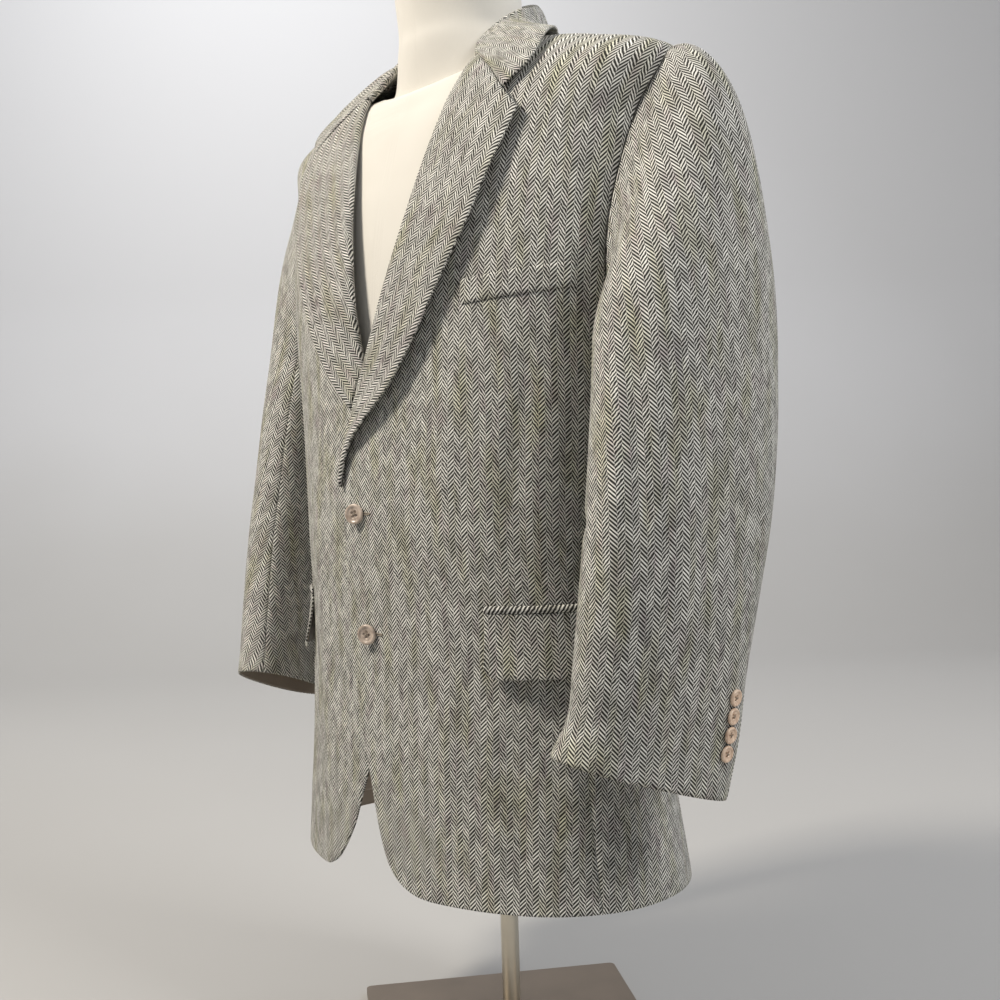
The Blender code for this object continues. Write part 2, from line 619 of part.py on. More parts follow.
def add_front_buttons(material, collection):
    for number, (x, height) in enumerate(((-13, 361), (-4, 245)), start=1):
        degrees, ring = front_place(float(x), float(height))
        place = on_skin(degrees, ring, 0.6)
        normal = skin_normal(degrees, ring)
        add_button(f"front_button_{number}", FRONT_BUTTON, 20, place, normal, material, collection)


def add_cuff_buttons(side_name, side, grid, material, collection):
    """Buttons up the back edge of the upper sleeve, each touching the next but for a gap."""
    column = (BACK_SEAM_COLUMN + 2) % grid.shape[1]
    line = grid[:, column]
    before = grid[:, column - 1]
    after = grid[:, (column + 1) % grid.shape[1]]
    down = unit(np.gradient(line, axis=0))
    normal = unit(np.cross(unit(after - before), down))
    normal = normal * np.sign(normal[:, 1:2] + 1e-9)
    run = np.cumsum(np.concatenate([[0], np.linalg.norm(np.diff(line, axis=0), axis=1)]))
    for number in range(CUFF_BUTTONS):
        at = run[-1] - CUFF_BUTTON_RISE - number * CUFF_BUTTON_STEP
        place = np.array([np.interp(at, run, line[:, i]) for i in range(3)])
        facing = unit(np.array([np.interp(at, run, normal[:, i]) for i in range(3)]))
        place = (place + facing * (CLOTH / 2 + 0.5)) * np.array([side, 1, 1])
        facing = facing * np.array([side, 1, 1])
        add_button(f"cuff_button_{side_name}_{number + 1}", CUFF_BUTTON, 12, place, facing,
                   material, collection)


def add_pole(material, collection):
    foot = BASE_THICK + 0.3
    top = HEM_HEIGHT + form_rings(8)[0, 0, 2] - 0.3
    bpy.ops.mesh.primitive_cylinder_add(
        vertices=32, radius=POLE_RADIUS * MM, depth=(top - foot) * MM,
        location=(0, POLE_Y * MM, (top + foot) / 2 * MM))
    pole = bpy.context.object
    pole.name = "form_pole"
    pole.data.materials.append(material)
    pole.data.shade_smooth()
    pole.data.set_sharp_from_angle(angle=math.radians(40))
    move_to(pole, collection)


def add_base(material, collection):
    bpy.ops.mesh.primitive_cube_add(size=1.0, location=(0, POLE_Y * MM, BASE_THICK / 2 * MM))
    base = bpy.context.object
    base.name = "form_base"
    base.data.transform(Matrix.Diagonal((BASE_SIDE * MM, BASE_SIDE * MM, BASE_THICK * MM, 1)))
    base.data.materials.append(material)
    corners = bmesh.new()
    corners.from_mesh(base.data)
    upright = [e for e in corners.edges if abs(e.verts[0].co.z - e.verts[1].co.z) > MM]
    bmesh.ops.bevel(corners, geom=upright, offset=BASE_CORNER * MM, segments=5, affect="EDGES",
                    profile=0.5)
    corners.to_mesh(base.data)
    corners.free()
    base.data.transform(Matrix.Rotation(math.radians(BASE_TURN), 4, "Z"))
    move_to(base, collection)


def move_to(piece, collection):
    for owner in list(piece.users_collection):
        owner.objects.unlink(piece)
    collection.objects.link(piece)


def make_material(name, colour, roughness, metallic=0.0):
    material = bpy.data.materials.new(name)
    material.use_nodes = True
    shader = material.node_tree.nodes["Principled BSDF"]
    shader.inputs["Base Color"].default_value = (*colour, 1.0)
    shader.inputs["Roughness"].default_value = roughness
    shader.inputs["Metallic"].default_value = metallic
    return material


def clear_scene():
    for old in list(bpy.data.objects):
        bpy.data.objects.remove(old, do_unlink=True)


def main():
    clear_scene()
    jacket = bpy.data.collections.new("tweed_hacking_jacket")
    bpy.context.scene.collection.children.link(jacket)
    tweed = make_material("tweed", (0.25, 0.24, 0.19), 0.9)
    lining = make_material("lining", (0.15, 0.12, 0.10), 0.5)
    horn = make_material("horn", (0.33, 0.24, 0.19), 0.35)
    cover = make_material("form_cover", (0.75, 0.73, 0.68), 0.7)
    steel = make_material("steel", (0.6, 0.6, 0.58), 0.35, 1.0)

    add_shell("front_left", front_panel(LEFT_EDGE, no_rise), CLOTH, tweed, jacket)
    add_shell("front_right", front_panel(RIGHT_EDGE, underlap_rise), CLOTH, tweed, jacket, -1)
    for side_name, side, sleeve, twist in (("left", 1, LEFT_SLEEVE, LEFT_TWIST),
                                           ("right", -1, RIGHT_SLEEVE, RIGHT_TWIST)):
        add_shell(f"side_{side_name}", side_panel(), CLOTH, tweed, jacket, side)
        add_shell(f"back_{side_name}", back_panel(), CLOTH, tweed, jacket, side)
        grid = sleeve_grid(sleeve, twist)
        upper, under = split_sleeve(grid)
        add_shell(f"topsleeve_{side_name}", upper[:, ::-1], CLOTH, tweed, jacket, side)
        add_shell(f"undersleeve_{side_name}", under[:, ::-1], CLOTH, tweed, jacket, side)
        add_cuff_buttons(side_name, side, grid, horn, jacket)
        jet = hip_strip(POCKET_TOP, JET_DEPTH, 0.5, CLEAR + 0.6, CLEAR + 0.6, 2)
        add_shell(f"hip_jet_{side_name}", jet, 1.2, tweed, jacket, side)
        flap = hip_strip(POCKET_TOP - JET_DEPTH - SEAM_GAP, FLAP_DEPTH, FLAP_CORNER,
                         CLEAR + CLOTH / 2, CLEAR + CLOTH / 2 + 1.2, 5)
        add_shell(f"hip_flap_{side_name}", flap, CLOTH, tweed, jacket, side)
    left = lapel_grid(LEFT_EDGE, LEFT_BREAK_RING, LEFT_LAPEL_EDGE, no_rise)
    right = lapel_grid(RIGHT_EDGE, RIGHT_BREAK_RING, RIGHT_LAPEL_EDGE, underlap_rise)
    add_shell("lapel_left", left, CLOTH, tweed, jacket)
    add_shell("lapel_right", right, CLOTH, tweed, jacket, -1)
    add_shell("collar", collar_grid(), CLOTH, tweed, jacket)
    add_shell("chest_welt", welt_grid(), CLOTH, tweed, jacket)
    add_shell("skirt_lining", lining_grid(), 1.0, lining, jacket)
    add_front_buttons(horn, jacket)
    add_form(cover, jacket)
    add_pole(steel, jacket)
    add_base(steel, jacket)


main()
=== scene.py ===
"""Looks of a tweed hacking jacket worn by a limbless dress form.

The jacket's cloth follows one body surface: rings from the hem to the collar stand, with a place
on it given by degrees round from the centre front and by ring number. The wearer's left is +X and
the front faces -Y. Tables and sizes are in millimetres, with heights from the hem, and every piece
is made a mesh in metres by `Cloth.place`.
"""

import logging
import math
from dataclasses import dataclass, field
from enum import Enum
from typing import Callable, Sequence, Union

import bmesh
import bpy
import numpy as np
from mathutils import Matrix, Vector


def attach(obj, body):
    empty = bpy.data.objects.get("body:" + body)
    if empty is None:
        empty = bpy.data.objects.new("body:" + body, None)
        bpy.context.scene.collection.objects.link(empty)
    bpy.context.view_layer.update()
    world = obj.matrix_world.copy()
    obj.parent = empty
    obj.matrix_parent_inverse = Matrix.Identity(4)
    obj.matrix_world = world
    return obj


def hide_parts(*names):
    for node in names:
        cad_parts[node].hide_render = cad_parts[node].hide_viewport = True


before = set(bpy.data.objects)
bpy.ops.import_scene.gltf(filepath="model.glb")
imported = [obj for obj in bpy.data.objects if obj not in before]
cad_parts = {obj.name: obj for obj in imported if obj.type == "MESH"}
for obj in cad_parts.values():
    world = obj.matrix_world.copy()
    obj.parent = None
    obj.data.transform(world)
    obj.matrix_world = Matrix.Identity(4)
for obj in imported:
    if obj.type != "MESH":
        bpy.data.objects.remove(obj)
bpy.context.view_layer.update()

LOG = logging.getLogger("hacking_jacket")
MM = 0.001
HEM_HEIGHT = 212.0  # the hem above the floor
SHOULDER_LEAN = 12.0  # the left shoulder is raised by it and the right one dropped
CLOTH = 1.8  # a panel with its lining
CLEAR = 0.7  # air under a flap that lies on a panel
SEAM_GAP = 0.46  # air between pieces that meet edge to edge

# height at the side, front and back, half width, depth to the front and back, squareness, middle y
BODY_RINGS = (
    (0, 0, 0, 232, 154, 147, 2.14, 0),
    (120, 120, 120, 214, 153, 132, 2.16, 0),
    (240, 240, 240, 208, 150, 126, 2.16, 0),
    (355, 355, 355, 206, 153, 121, 2.16, 0),
    (460, 460, 460, 217, 146, 124, 2.20, 0),
    (560, 556, 560, 228, 141, 130, 2.26, 0),
    (640, 630, 645, 237, 132, 128, 2.32, 3),
    (705, 685, 715, 246, 119, 116, 2.30, 6),
    (758, 731, 767, 256, 102, 102, 2.20, 6),
    (790, 759, 799, 175, 86, 86, 2.10, 2),
    (813, 783, 827, 88, 72, 72, 2.00, -4),
    (845, 812, 872, 78, 66, 64, 2.00, -2),
)
LAST_RING = len(BODY_RINGS) - 1
SHOULDER_RING = 8.0
NECK_RING = 10.0
YOKE_RING = 7.0  # from here up the weave is unfolded over the shoulder
SEAM_RING = 5.12  # top of the side seams
VENT_RING = 1.65  # top of the side vents
UNDERLAP = 13.0  # degrees that the side runs on behind the back at a vent
# degrees, ring, from the shoulder point round the front, underarm and back
ARMHOLE = (
    (90.0, 8.00), (84.5, 7.78), (80.0, 7.40), (76.5, 6.95), (73.8, 6.45), (72.0, 5.95),
    (71.5, 5.50), (72.8, 5.12), (76.5, 4.88), (83.0, 4.74), (90.0, 4.70), (97.0, 4.74),
    (104.0, 4.88), (109.0, 5.12), (112.0, 5.50), (113.0, 5.95), (111.5, 6.45), (108.0, 6.95),
    (103.0, 7.40), (96.5, 7.78),
)
# rows at the side seams
ARMHOLE_FRONT = 7
ARMHOLE_BACK = 13
# ring, degrees
FRONT_SEAM = ((0, 66), (2.5, 68), (5.12, 72.8))
BACK_SEAM = ((0, 122), (2.5, 120), (5.12, 109))
# distance from the middle, height
LEFT_EDGE = (
    (72, 0), (53, 2), (36, 8), (24, 17), (14, 31), (7, 50), (1, 72), (-5, 100), (-15, 140),
    (-27, 190), (-35, 245), (-36, 300), (-36, 383), (-33, 415), (-20, 450), (-7, 483),
    (9, 520), (24, 560), (37, 600), (49, 640), (59, 685), (69, 730), (77, 762), (85, 788),
)
RIGHT_EDGE = (
    (104, 0), (88, 2), (73, 10), (62, 21), (50, 37), (38, 56), (27, 80), (16, 104), (4, 140),
    (-5, 180), (-11, 225), (-13, 280), (-13, 383), (-8, 420), (0, 460), (8, 492), (17, 532),
    (26, 575), (35, 615), (45, 655), (56, 695), (67, 734), (77, 764), (85, 788),
)
# degrees, ring
NECKLINE = ((55, 9.73), (69, 9.87), (84, 10.0))
# distance from the middle, height
LEFT_LAPEL_EDGE = (
    (-34.5, 388), (-31, 400), (-22, 421), (-9, 436), (9, 451), (38, 477), (58, 502), (76, 529),
    (93, 560), (112, 597), (130, 636), (147, 682), (159, 716),
)
RIGHT_LAPEL_EDGE = (
    (9, 447), (24, 463), (40, 481), (57, 503), (76, 531), (93, 561), (112, 597), (130, 637),
    (148, 684), (159, 716),
)
GORGE_TOP = (85.0, 787.5)
NOTCH = (139.0, 736.0)
# foot's degrees, fold's degrees and ring, edge's degrees and ring
COLLAR = (
    (42.6, 40.6, 9.54, 31.2, 8.02),
    (48.0, 45.8, 9.75, 39.0, 8.30),
    (55.0, 52.6, 9.99, 46.5, 8.58),
    (64.0, 64.0, 10.27, 58.5, 8.98),
    (76.0, 76.0, 10.55, 71.0, 9.25),
    (92.0, 92.0, 10.80, 89.0, 9.50),
    (110.0, 110.0, 10.92, 108.0, 9.66),
    (132.0, 132.0, 10.97, 131.0, 9.63),
    (156.0, 156.0, 10.99, 156.0, 9.60),
    (180.0, 180.0, 10.99, 180.0, 9.60),
)
# x, y, height, half width, half thickness, turn
LEFT_SLEEVE = (
    (286, -20, 500, 92, 52, 8),
    (291, -30, 440, 93, 48, 10),
    (293, -42, 370, 91, 44, 13),
    (290, -54, 300, 86, 41, 16),
    (283, -62, 230, 81, 38, 20),
    (276, -64, 180, 80, 36, 23),
    (268, -76, 136, 84, 35, 25),
)
RIGHT_SLEEVE = (
    (286, 34, 500, 92, 52, 8),
    (289, 21, 440, 93, 48, 10),
    (290, 3, 370, 91, 44, 13),
    (288, -19, 300, 86, 41, 16),
    (282, -41, 230, 81, 38, 20),
    (276, -55, 180, 80, 36, 23),
    (271, -64, 152, 82, 35, 25),
)
# lower front, lower side, upper side, upper front corner: x, height
WELT = ((116, 551), (205, 561), (206, 583), (116, 573))
ARMHOLE_POINTS = 26.0  # a sleeve's points round the armhole, from the shoulder forward
# ring and how far the form lies inside the jacket
FORM_RINGS = (
    (1.45, 26), (1.55, 17), (2.0, 15), (3.0, 14), (4.0, 14), (5.0, 13), (5.8, 11), (6.5, 9),
    (7.1, 7.2), (7.6, 5.0), (8.0, 3.3), (8.35, 2.75), (8.75, 2.75), (9.2, 2.9), (9.46, 4.2),
    (9.7, 9), (9.9, 15),
)
# height, half width, half depth, middle y
FORM_NECK = ((826, 70, 61, -7), (846, 66, 60, -8), (880, 65, 62, -11), (928, 66, 64, -14),
             (936, 61, 59, -14.5), (939, 50, 48, -15))


# ---------------- shape maths


def smooth_rows(table: np.ndarray, at: np.ndarray) -> np.ndarray:
    """Reads a table between its rows along a Catmull-Rom curve.

    Args:
        table: rows of values.
        at: row numbers, whole or between rows.

    Returns:
        One row of values for each entry of at.
    """
    table = np.asarray(table, float)
    last = len(table) - 1
    at = np.clip(np.asarray(at, float), 0.0, last)
    i = np.clip(np.floor(at).astype(int), 0, last - 1)
    f = (at - i)[..., None]
    p1, p2 = table[i], table[i + 1]
    p0 = np.where((i > 0)[..., None], table[np.maximum(i - 1, 0)], 2 * p1 - p2)
    p3 = np.where((i + 2 <= last)[..., None], table[np.minimum(i + 2, last)], 2 * p2 - p1)
    m1, m2 = (p2 - p0) / 2, (p3 - p1) / 2
    rise = 3 * f**2 - 2 * f**3
    return (1 - rise) * p1 + (f**3 - 2 * f**2 + f) * m1 + rise * p2 + (f**3 - f**2) * m2


def ease(value: np.ndarray) -> np.ndarray:
    """0 below 0, 1 above 1 and the smooth step 3t^2 - 2t^3 between."""
    value = np.clip(value, 0.0, 1.0)
    return value * value * (3 - 2 * value)


def unit(vectors: np.ndarray) -> np.ndarray:
    """Vectors at length one."""
    return vectors / np.maximum(np.linalg.norm(vectors, axis=-1, keepdims=True), 1e-9)


def run_along(points: np.ndarray, axis: int = 0) -> np.ndarray:
    """Length of the line through points up to each of them, starting from 0."""
    step = np.linalg.norm(np.diff(points, axis=axis), axis=-1)
    return np.concatenate([np.zeros_like(step.take([0], axis)), np.cumsum(step, axis)], axis)


def blend(table: np.ndarray, row: np.ndarray, column: np.ndarray) -> np.ndarray:
    """Reads a table between its rows and columns, bilinearly.

    Args:
        table: values by row and column, with any further axes after these.
        row: row numbers, whole or between rows.
        column: column numbers, one for each row number.

    Returns:
        The value, or values, at each place.
    """
    r = np.clip(np.floor(row).astype(int), 0, table.shape[0] - 2)
    c = np.clip(np.floor(column).astype(int), 0, table.shape[1] - 2)
    down, over = row - r, column - c
    if table.ndim > 2:
        down, over = down[..., None], over[..., None]
    first = table[r, c] * (1 - over) + table[r, c + 1] * over
    second = table[r + 1, c] * (1 - over) + table[r + 1, c + 1] * over
    return first * (1 - down) + second * down


def even_curve(table: Sequence, count: int) -> np.ndarray:
    """Spaces points evenly along the smooth curve through a table's rows.

    Args:
        table: rows of values.
        count: how many points.

    Returns:
        The points, in the table's own columns.
    """
    dense = smooth_rows(table, np.linspace(0, len(table) - 1, 40 * len(table)))
    run = run_along(dense)
    at = np.linspace(0, run[-1], count)
    return np.stack([np.interp(at, run, dense[:, c]) for c in range(dense.shape[1])], -1)


def spin(first: np.ndarray | Vector, second: np.ndarray | Vector, degrees: float) -> tuple:
    """Turns two square directions, the first towards the second: a cos + b sin, b cos - a sin."""
    c, s = math.cos(math.radians(degrees)), math.sin(math.radians(degrees))
    return first * c + second * s, second * c - first * s


def cosine_spread(count: int) -> np.ndarray:
    """Fractions from 0 to 1, closer together at both ends."""
    return 0.5 - 0.5 * np.cos(np.linspace(0, math.pi, count))


def grid_normals(points: np.ndarray) -> np.ndarray:
    """Unit normals of a grid: the row direction crossed with the column direction."""
    return unit(np.cross(np.gradient(points, axis=1), np.gradient(points, axis=0)))


@dataclass(frozen=True)
class Crease:
    """A soft ridge, or a trough where lift is below 0, along a bowed line between two places.

    A place is (across, along): degrees round and height from the hem, both on the piece's own
    surface. width and bow are in millimetres, and the ends fade over the share `fade`.
    """

    start: tuple[float, float]
    end: tuple[float, float]
    lift: float
    width: float
    bow: float = 0.0
    fade: float = 0.35

    def height(self, across: np.ndarray, along: np.ndarray, per_degree: float) -> np.ndarray:
        """Lift of each point: lift * exp(-(distance / width)^2), faded at both ends.

        Args:
            across: degrees round.
            along: height from the hem.
            per_degree: millimetres in a degree.

        Returns:
            Millimetres outward.
        """
        x, y = (across - self.start[0]) * per_degree, along - self.start[1]
        run_x, run_y = (self.end[0] - self.start[0]) * per_degree, self.end[1] - self.start[1]
        length = math.hypot(run_x, run_y)
        t = (x * run_x + y * run_y) / length**2
        off = (x * run_y - y * run_x) / length - self.bow * np.sin(math.pi * np.clip(t, 0, 1))
        ends = ease(t / self.fade) * ease((1 - t) / self.fade)
        return self.lift * np.exp(-(off / self.width) ** 2) * ends


def creased(across: np.ndarray, along: np.ndarray, creases: Sequence[Crease],
            per_degree: float) -> np.ndarray:
    """Sum of the creases' heights at each point."""
    return sum((c.height(across, along, per_degree) for c in creases), np.zeros_like(along))


@dataclass(frozen=True)
class Hang:
    """Weave coordinates of cloth that hangs plumb from a surface given as a grid.

    Slices are cut across the grid at even levels, a level being the point's reach along `tilt`.
    The width coordinate is the length along a slice from the middle column, so a stripe runs
    straight down; the length coordinate is the length of the middle column up to the slice.
    """

    levels: np.ndarray
    across: np.ndarray  # columns by levels
    along: np.ndarray

    @classmethod
    def over(cls, points: np.ndarray, middle: int, tilt: tuple[float, float, float]) -> "Hang":
        """Cuts the slices.

        Args:
            points: grid, rows by columns, bottom row first.
            middle: column from which widths are measured.
            tilt: direction in which the level rises.

        Returns:
            The hang of that surface.
        """
        level = np.maximum.accumulate(points @ np.array(tilt), axis=0)
        level = level + np.arange(len(level))[:, None] * 1e-6
        levels = np.linspace(level.min(), level.max(), 220)
        slices = np.stack([[np.interp(levels, level[:, j], points[:, j, c]) for c in range(3)]
                           for j in range(points.shape[1])])
        run = np.cumsum(np.linalg.norm(np.diff(slices, axis=0), axis=1), axis=0)
        run = np.vstack([np.zeros(len(levels)), run])
        column = run_along(points[:, middle])
        return cls(levels, run - run[middle], np.interp(levels, level[:, middle], column))

    def read(self, column: np.ndarray, level: np.ndarray) -> np.ndarray:
        """Weave coordinates of places on the surface.

        Args:
            column: column numbers, whole or between columns.
            level: the place's reach along the tilt.

        Returns:
            Width and length coordinates in millimetres.
        """
        slice_at = np.interp(level, self.levels, np.arange(len(self.levels)))
        return np.stack([blend(self.across, column, slice_at),
                         np.interp(level, self.levels, self.along)], -1)


class Side(Enum):
    """The wearer's side that a piece is on: the sign of its x."""

    LEFT = 1
    RIGHT = -1

    @property
    def word(self) -> str:
        """The side in a piece's name."""
        return self.name.lower()


class Weave(Enum):
    """Which half of the body a panel's grainline is measured on."""

    FORE = "fore"
    AFT = "aft"


@dataclass
class BodySurface:
    """The outer face of the jacket's body with its creases."""

    creases: tuple[Crease, ...]
    per_degree: float = 3.9  # millimetres in a degree, for the creases
    step: float = 1.5  # degrees between the columns on which the weave is measured
    hang_rows: int = 260
    yoke_rows: int = 120
    hangs: dict[Weave, Hang] = field(default_factory=dict)
    yokes: dict[Weave, np.ndarray] = field(default_factory=dict)

    def __post_init__(self) -> None:
        """Measures the weave over the bare surface."""
        rings = np.linspace(0, NECK_RING, self.hang_rows)[:, None]
        points = self.skin(self.half_turn(), rings)
        for half, middle in ((Weave.FORE, 0), (Weave.AFT, points.shape[1] - 1)):
            self.hangs[half] = Hang.over(points, middle, self.tilt(half))
            self.yokes[half] = self.over_shoulder(half)

    def half_turn(self) -> np.ndarray:
        """Degrees of the columns on which the weave is measured."""
        return np.arange(0, 180 + self.step / 2, self.step)[None, :]

    @staticmethod
    def tilt(half: Weave) -> tuple[float, float, float]:
        """Direction in which the weave's level rises over the chest, or over the back."""
        return 0.0, 0.3 if half is Weave.FORE else -0.3, 0.95

    def over_shoulder(self, half: Weave) -> np.ndarray:
        """Weave coordinates from YOKE_RING up, over the shoulder, as flat cloth would run.

        Each step up a column adds its length across the grain and along it: across = up x normal,
        grain = normal x across, where up turns from the hang's tilt to a slope over the shoulder.

        Args:
            half: which half carries the grainline.

        Returns:
            Coordinates in millimetres, rings by degrees.
        """
        degrees = self.half_turn()
        rings = np.linspace(YOKE_RING, NECK_RING, self.yoke_rows)[:, None]
        points, normal = self.skin(degrees, rings), self.normal(degrees, rings)
        tilt = np.array(self.tilt(half))
        slope = np.array([0.0, 1.5 * tilt[1], -0.3])
        up = tilt + slope * ease((rings - YOKE_RING) / 1.2)[..., None]
        across = unit(np.cross(up, normal))
        grain = np.cross(normal, across)
        step = np.diff(points, axis=0)
        run = np.stack([(step * (way[1:] + way[:-1]) / 2).sum(-1) for way in (across, grain)], -1)
        start = self.hangs[half].read(np.arange(points.shape[1]), points[0] @ tilt)
        return start + np.concatenate([np.zeros((1,) + start.shape), np.cumsum(run, axis=0)])

    @staticmethod
    def skin(degrees: np.ndarray, ring: np.ndarray) -> np.ndarray:
        """Bare face: a super-ellipse x = w|sin|^(2/n), y = m - d|cos|^(2/n), z eased by cos^2.

        Args:
            degrees: round from the centre front.
            ring: ring number.

        Returns:
            Points in millimetres, last axis x, y, z.
        """
        degrees, ring = np.broadcast_arrays(np.asarray(degrees, float), np.asarray(ring, float))
        side, front, back, half, fore, aft, square, middle = np.moveaxis(
            smooth_rows(BODY_RINGS, ring), -1, 0)
        c, s = np.cos(np.radians(degrees)), np.sin(np.radians(degrees))
        power = 2.0 / square
        x = half * np.sign(s) * np.abs(s)**power
        y = middle - np.where(c >= 0, fore, aft) * np.sign(c) * np.abs(c)**power
        z = side + np.where(c >= 0, front - side, back - side) * c * c
        return np.stack([x, y, z], -1)

    def normal(self, degrees: np.ndarray, ring: np.ndarray) -> np.ndarray:
        """Unit normals of the bare face: its way round crossed with its way up.

        Args:
            degrees: round from the centre front.
            ring: ring number.

        Returns:
            Unit vectors that point outward.
        """
        degrees, ring = np.broadcast_arrays(np.asarray(degrees, float), np.asarray(ring, float))
        ring = np.clip(ring, 0.01, LAST_RING - 0.01)
        around = self.skin(degrees + 1.0, ring) - self.skin(degrees - 1.0, ring)
        up = self.skin(degrees, ring + 0.01) - self.skin(degrees, ring - 0.01)
        return unit(np.cross(around, up))

    def on(self, degrees: np.ndarray, ring: np.ndarray, out: np.ndarray | float = 0.0,
           side: Side = Side.LEFT) -> np.ndarray:
        """Points raised from the creased face: skin + normal * (out + creases).

        Args:
            degrees: round from the centre front, towards that side.
            ring: ring number.
            out: millimetres above the face.
            side: whose creases are added, for the two sides differ.

        Returns:
            Points in millimetres.
        """
        place = self.skin(degrees, ring)
        signed = np.broadcast_to(np.asarray(degrees, float), place.shape[:-1]) * side.value
        lift = creased(signed, place[..., 2], self.creases, self.per_degree)
        return place + self.normal(degrees, ring) * (np.asarray(out, float) + lift)[..., None]

    def front_place(self, x: np.ndarray, height: np.ndarray) -> tuple[np.ndarray, np.ndarray]:
        """Finds the front place at x and a height by Newton steps on the two together.

        Args:
            x: distance from the middle.
            height: millimetres above the hem.

        Returns:
            Degrees and ring numbers.
        """
        x, height = np.broadcast_arrays(np.asarray(x, float), np.asarray(height, float))
        heights = [row[1] for row in BODY_RINGS]
        ring = np.interp(height, heights, np.arange(len(heights)))
        half_width = 230.0
        degrees = np.degrees(np.arcsin(np.clip(x / half_width, -0.95, 0.95)))
        turn, climb = 0.05, 0.002  # steps over which the slopes are measured
        for _ in range(16):
            here = self.skin(degrees, ring)
            across = (self.skin(degrees + turn, ring) - here) / turn
            up = (self.skin(degrees, ring + climb) - here) / climb
            dx, dz = x - here[..., 0], height - here[..., 2]
            spread = across[..., 0] * up[..., 2] - up[..., 0] * across[..., 2]
            spread = np.where(np.abs(spread) < 1e-6, 1e-6, spread)
            degrees = degrees + np.clip((dx * up[..., 2] - up[..., 0] * dz) / spread, -6, 6)
            ring = ring + np.clip((across[..., 0] * dz - dx * across[..., 2]) / spread, -0.5, 0.5)
            degrees = np.clip(degrees, -88, 88)
            ring = np.clip(ring, 0.0, LAST_RING - 0.01)
        return degrees, ring

    def weave(self, degrees: np.ndarray, ring: np.ndarray, half: Weave) -> np.ndarray:
        """Weave coordinates of places: from the hang below YOKE_RING, from the yoke above.

        Args:
            degrees: round from the centre front.
            ring: ring number.
            half: which half carries the grainline.

        Returns:
            Coordinates in millimetres, widths from the centre front or centre back.
        """
        level = self.skin(degrees, ring) @ np.array(self.tilt(half))
        column = np.abs(degrees) / self.step
        row = np.clip((ring - YOKE_RING) / (NECK_RING - YOKE_RING), 0, 1) * (self.yoke_rows - 1)
        found = np.where((ring > YOKE_RING)[..., None], blend(self.yokes[half], row, column),
                         self.hangs[half].read(column, level))
        return found * np.stack([np.where(degrees < 0, -1, 1), np.ones_like(level)], -1)


def lean(points: np.ndarray) -> np.ndarray:
    """Raises the left shoulder and drops the right one, fading out down to the chest.

    Args:
        points: points in millimetres, heights from the hem.

    Returns:
        The points as they sit.
    """
    chest, fade, half_width = 600.0, 170.0, BODY_RINGS[8][3]
    share = ease((points[..., 2] - chest) / fade) * points[..., 0] / half_width
    return points + np.array([0, 0, SHOULDER_LEAN]) * share[..., None]


# ---------------- meshes


@dataclass
class Cloth:
    """A piece on a grid of points with its weave coordinates, rows by columns, in millimetres."""

    name: str
    points: np.ndarray
    weave: np.ndarray
    side: Side = Side.LEFT
    looped: bool = False  # its last column meets its first
    capped: bool = False  # its first and last rows are filled
    ring: bool = False  # its last row meets its first

    def place(self) -> np.ndarray:
        """The points in the row frame, in metres: mirrored, leaned and raised to the hem."""
        points = self.points.reshape(-1, 3) * np.array([self.side.value, 1, 1])
        return (lean(points) + np.array([0, 0, HEM_HEIGHT])) * MM

    def build(self, materials: Sequence[bpy.types.Material]) -> bpy.types.Object:
        """Makes the grid a mesh object with the weave as its UV map, in metres.

        Args:
            materials: its outer finish, then the inner one if it has one.

        Returns:
            The object, linked to the scene.
        """
        rows, columns = self.points.shape[:2]
        row = np.arange(rows if self.ring else rows - 1)[:, None] * columns
        column = np.arange(columns if self.looped else columns - 1)[None, :]
        above, after = (row + columns) % (rows * columns), (column + 1) % columns
        quads = np.stack([row + column, row + after, above + after, above + column],
                         -1).reshape(-1, 4)
        if self.side is Side.RIGHT:
            quads = quads[:, ::-1]
        faces, corners = quads.tolist(), quads.ravel()
        if self.capped:
            caps = [np.arange(columns)[::-1], np.arange((rows - 1) * columns, rows * columns)]
            if self.side is Side.RIGHT:
                caps = [cap[::-1] for cap in caps]
            faces += [cap.tolist() for cap in caps]
            corners = np.concatenate([corners, *caps])
        mesh = bpy.data.meshes.new(self.name)
        mesh.from_pydata(self.place().tolist(), [], faces)
        layer = mesh.uv_layers.new(name="weave")
        layer.uv.foreach_set("vector", (self.weave.reshape(-1, 2)[corners] * MM).ravel())
        for material in materials:
            mesh.materials.append(material)
        mesh.shade_smooth()
        piece = bpy.data.objects.new(self.name, mesh)
        bpy.context.scene.collection.objects.link(piece)
        return piece


def thicken(piece: bpy.types.Object, wall: float, lined: bool) -> None:
    """Gives an open grid its wall, centred on the grid.

    Args:
        piece: the object.
        wall: thickness in millimetres.
        lined: whether its second finish is inside.
    """
    modifier = piece.modifiers.new("Wall", "SOLIDIFY")
    modifier.thickness = wall * MM
    modifier.offset = 0.0
    modifier.material_offset = 1 if lined else 0


def report(piece: bpy.types.Object, node: str | None) -> None:
    """Puts a finished piece in the frame and logs it.

    Args:
        piece: the object.
        node: CAD node that it stands for, if there is one.
    """
    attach(piece, "root")
    if node:
        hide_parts(node)
    LOG.info("%s: %d faces", piece.name, len(piece.data.polygons))


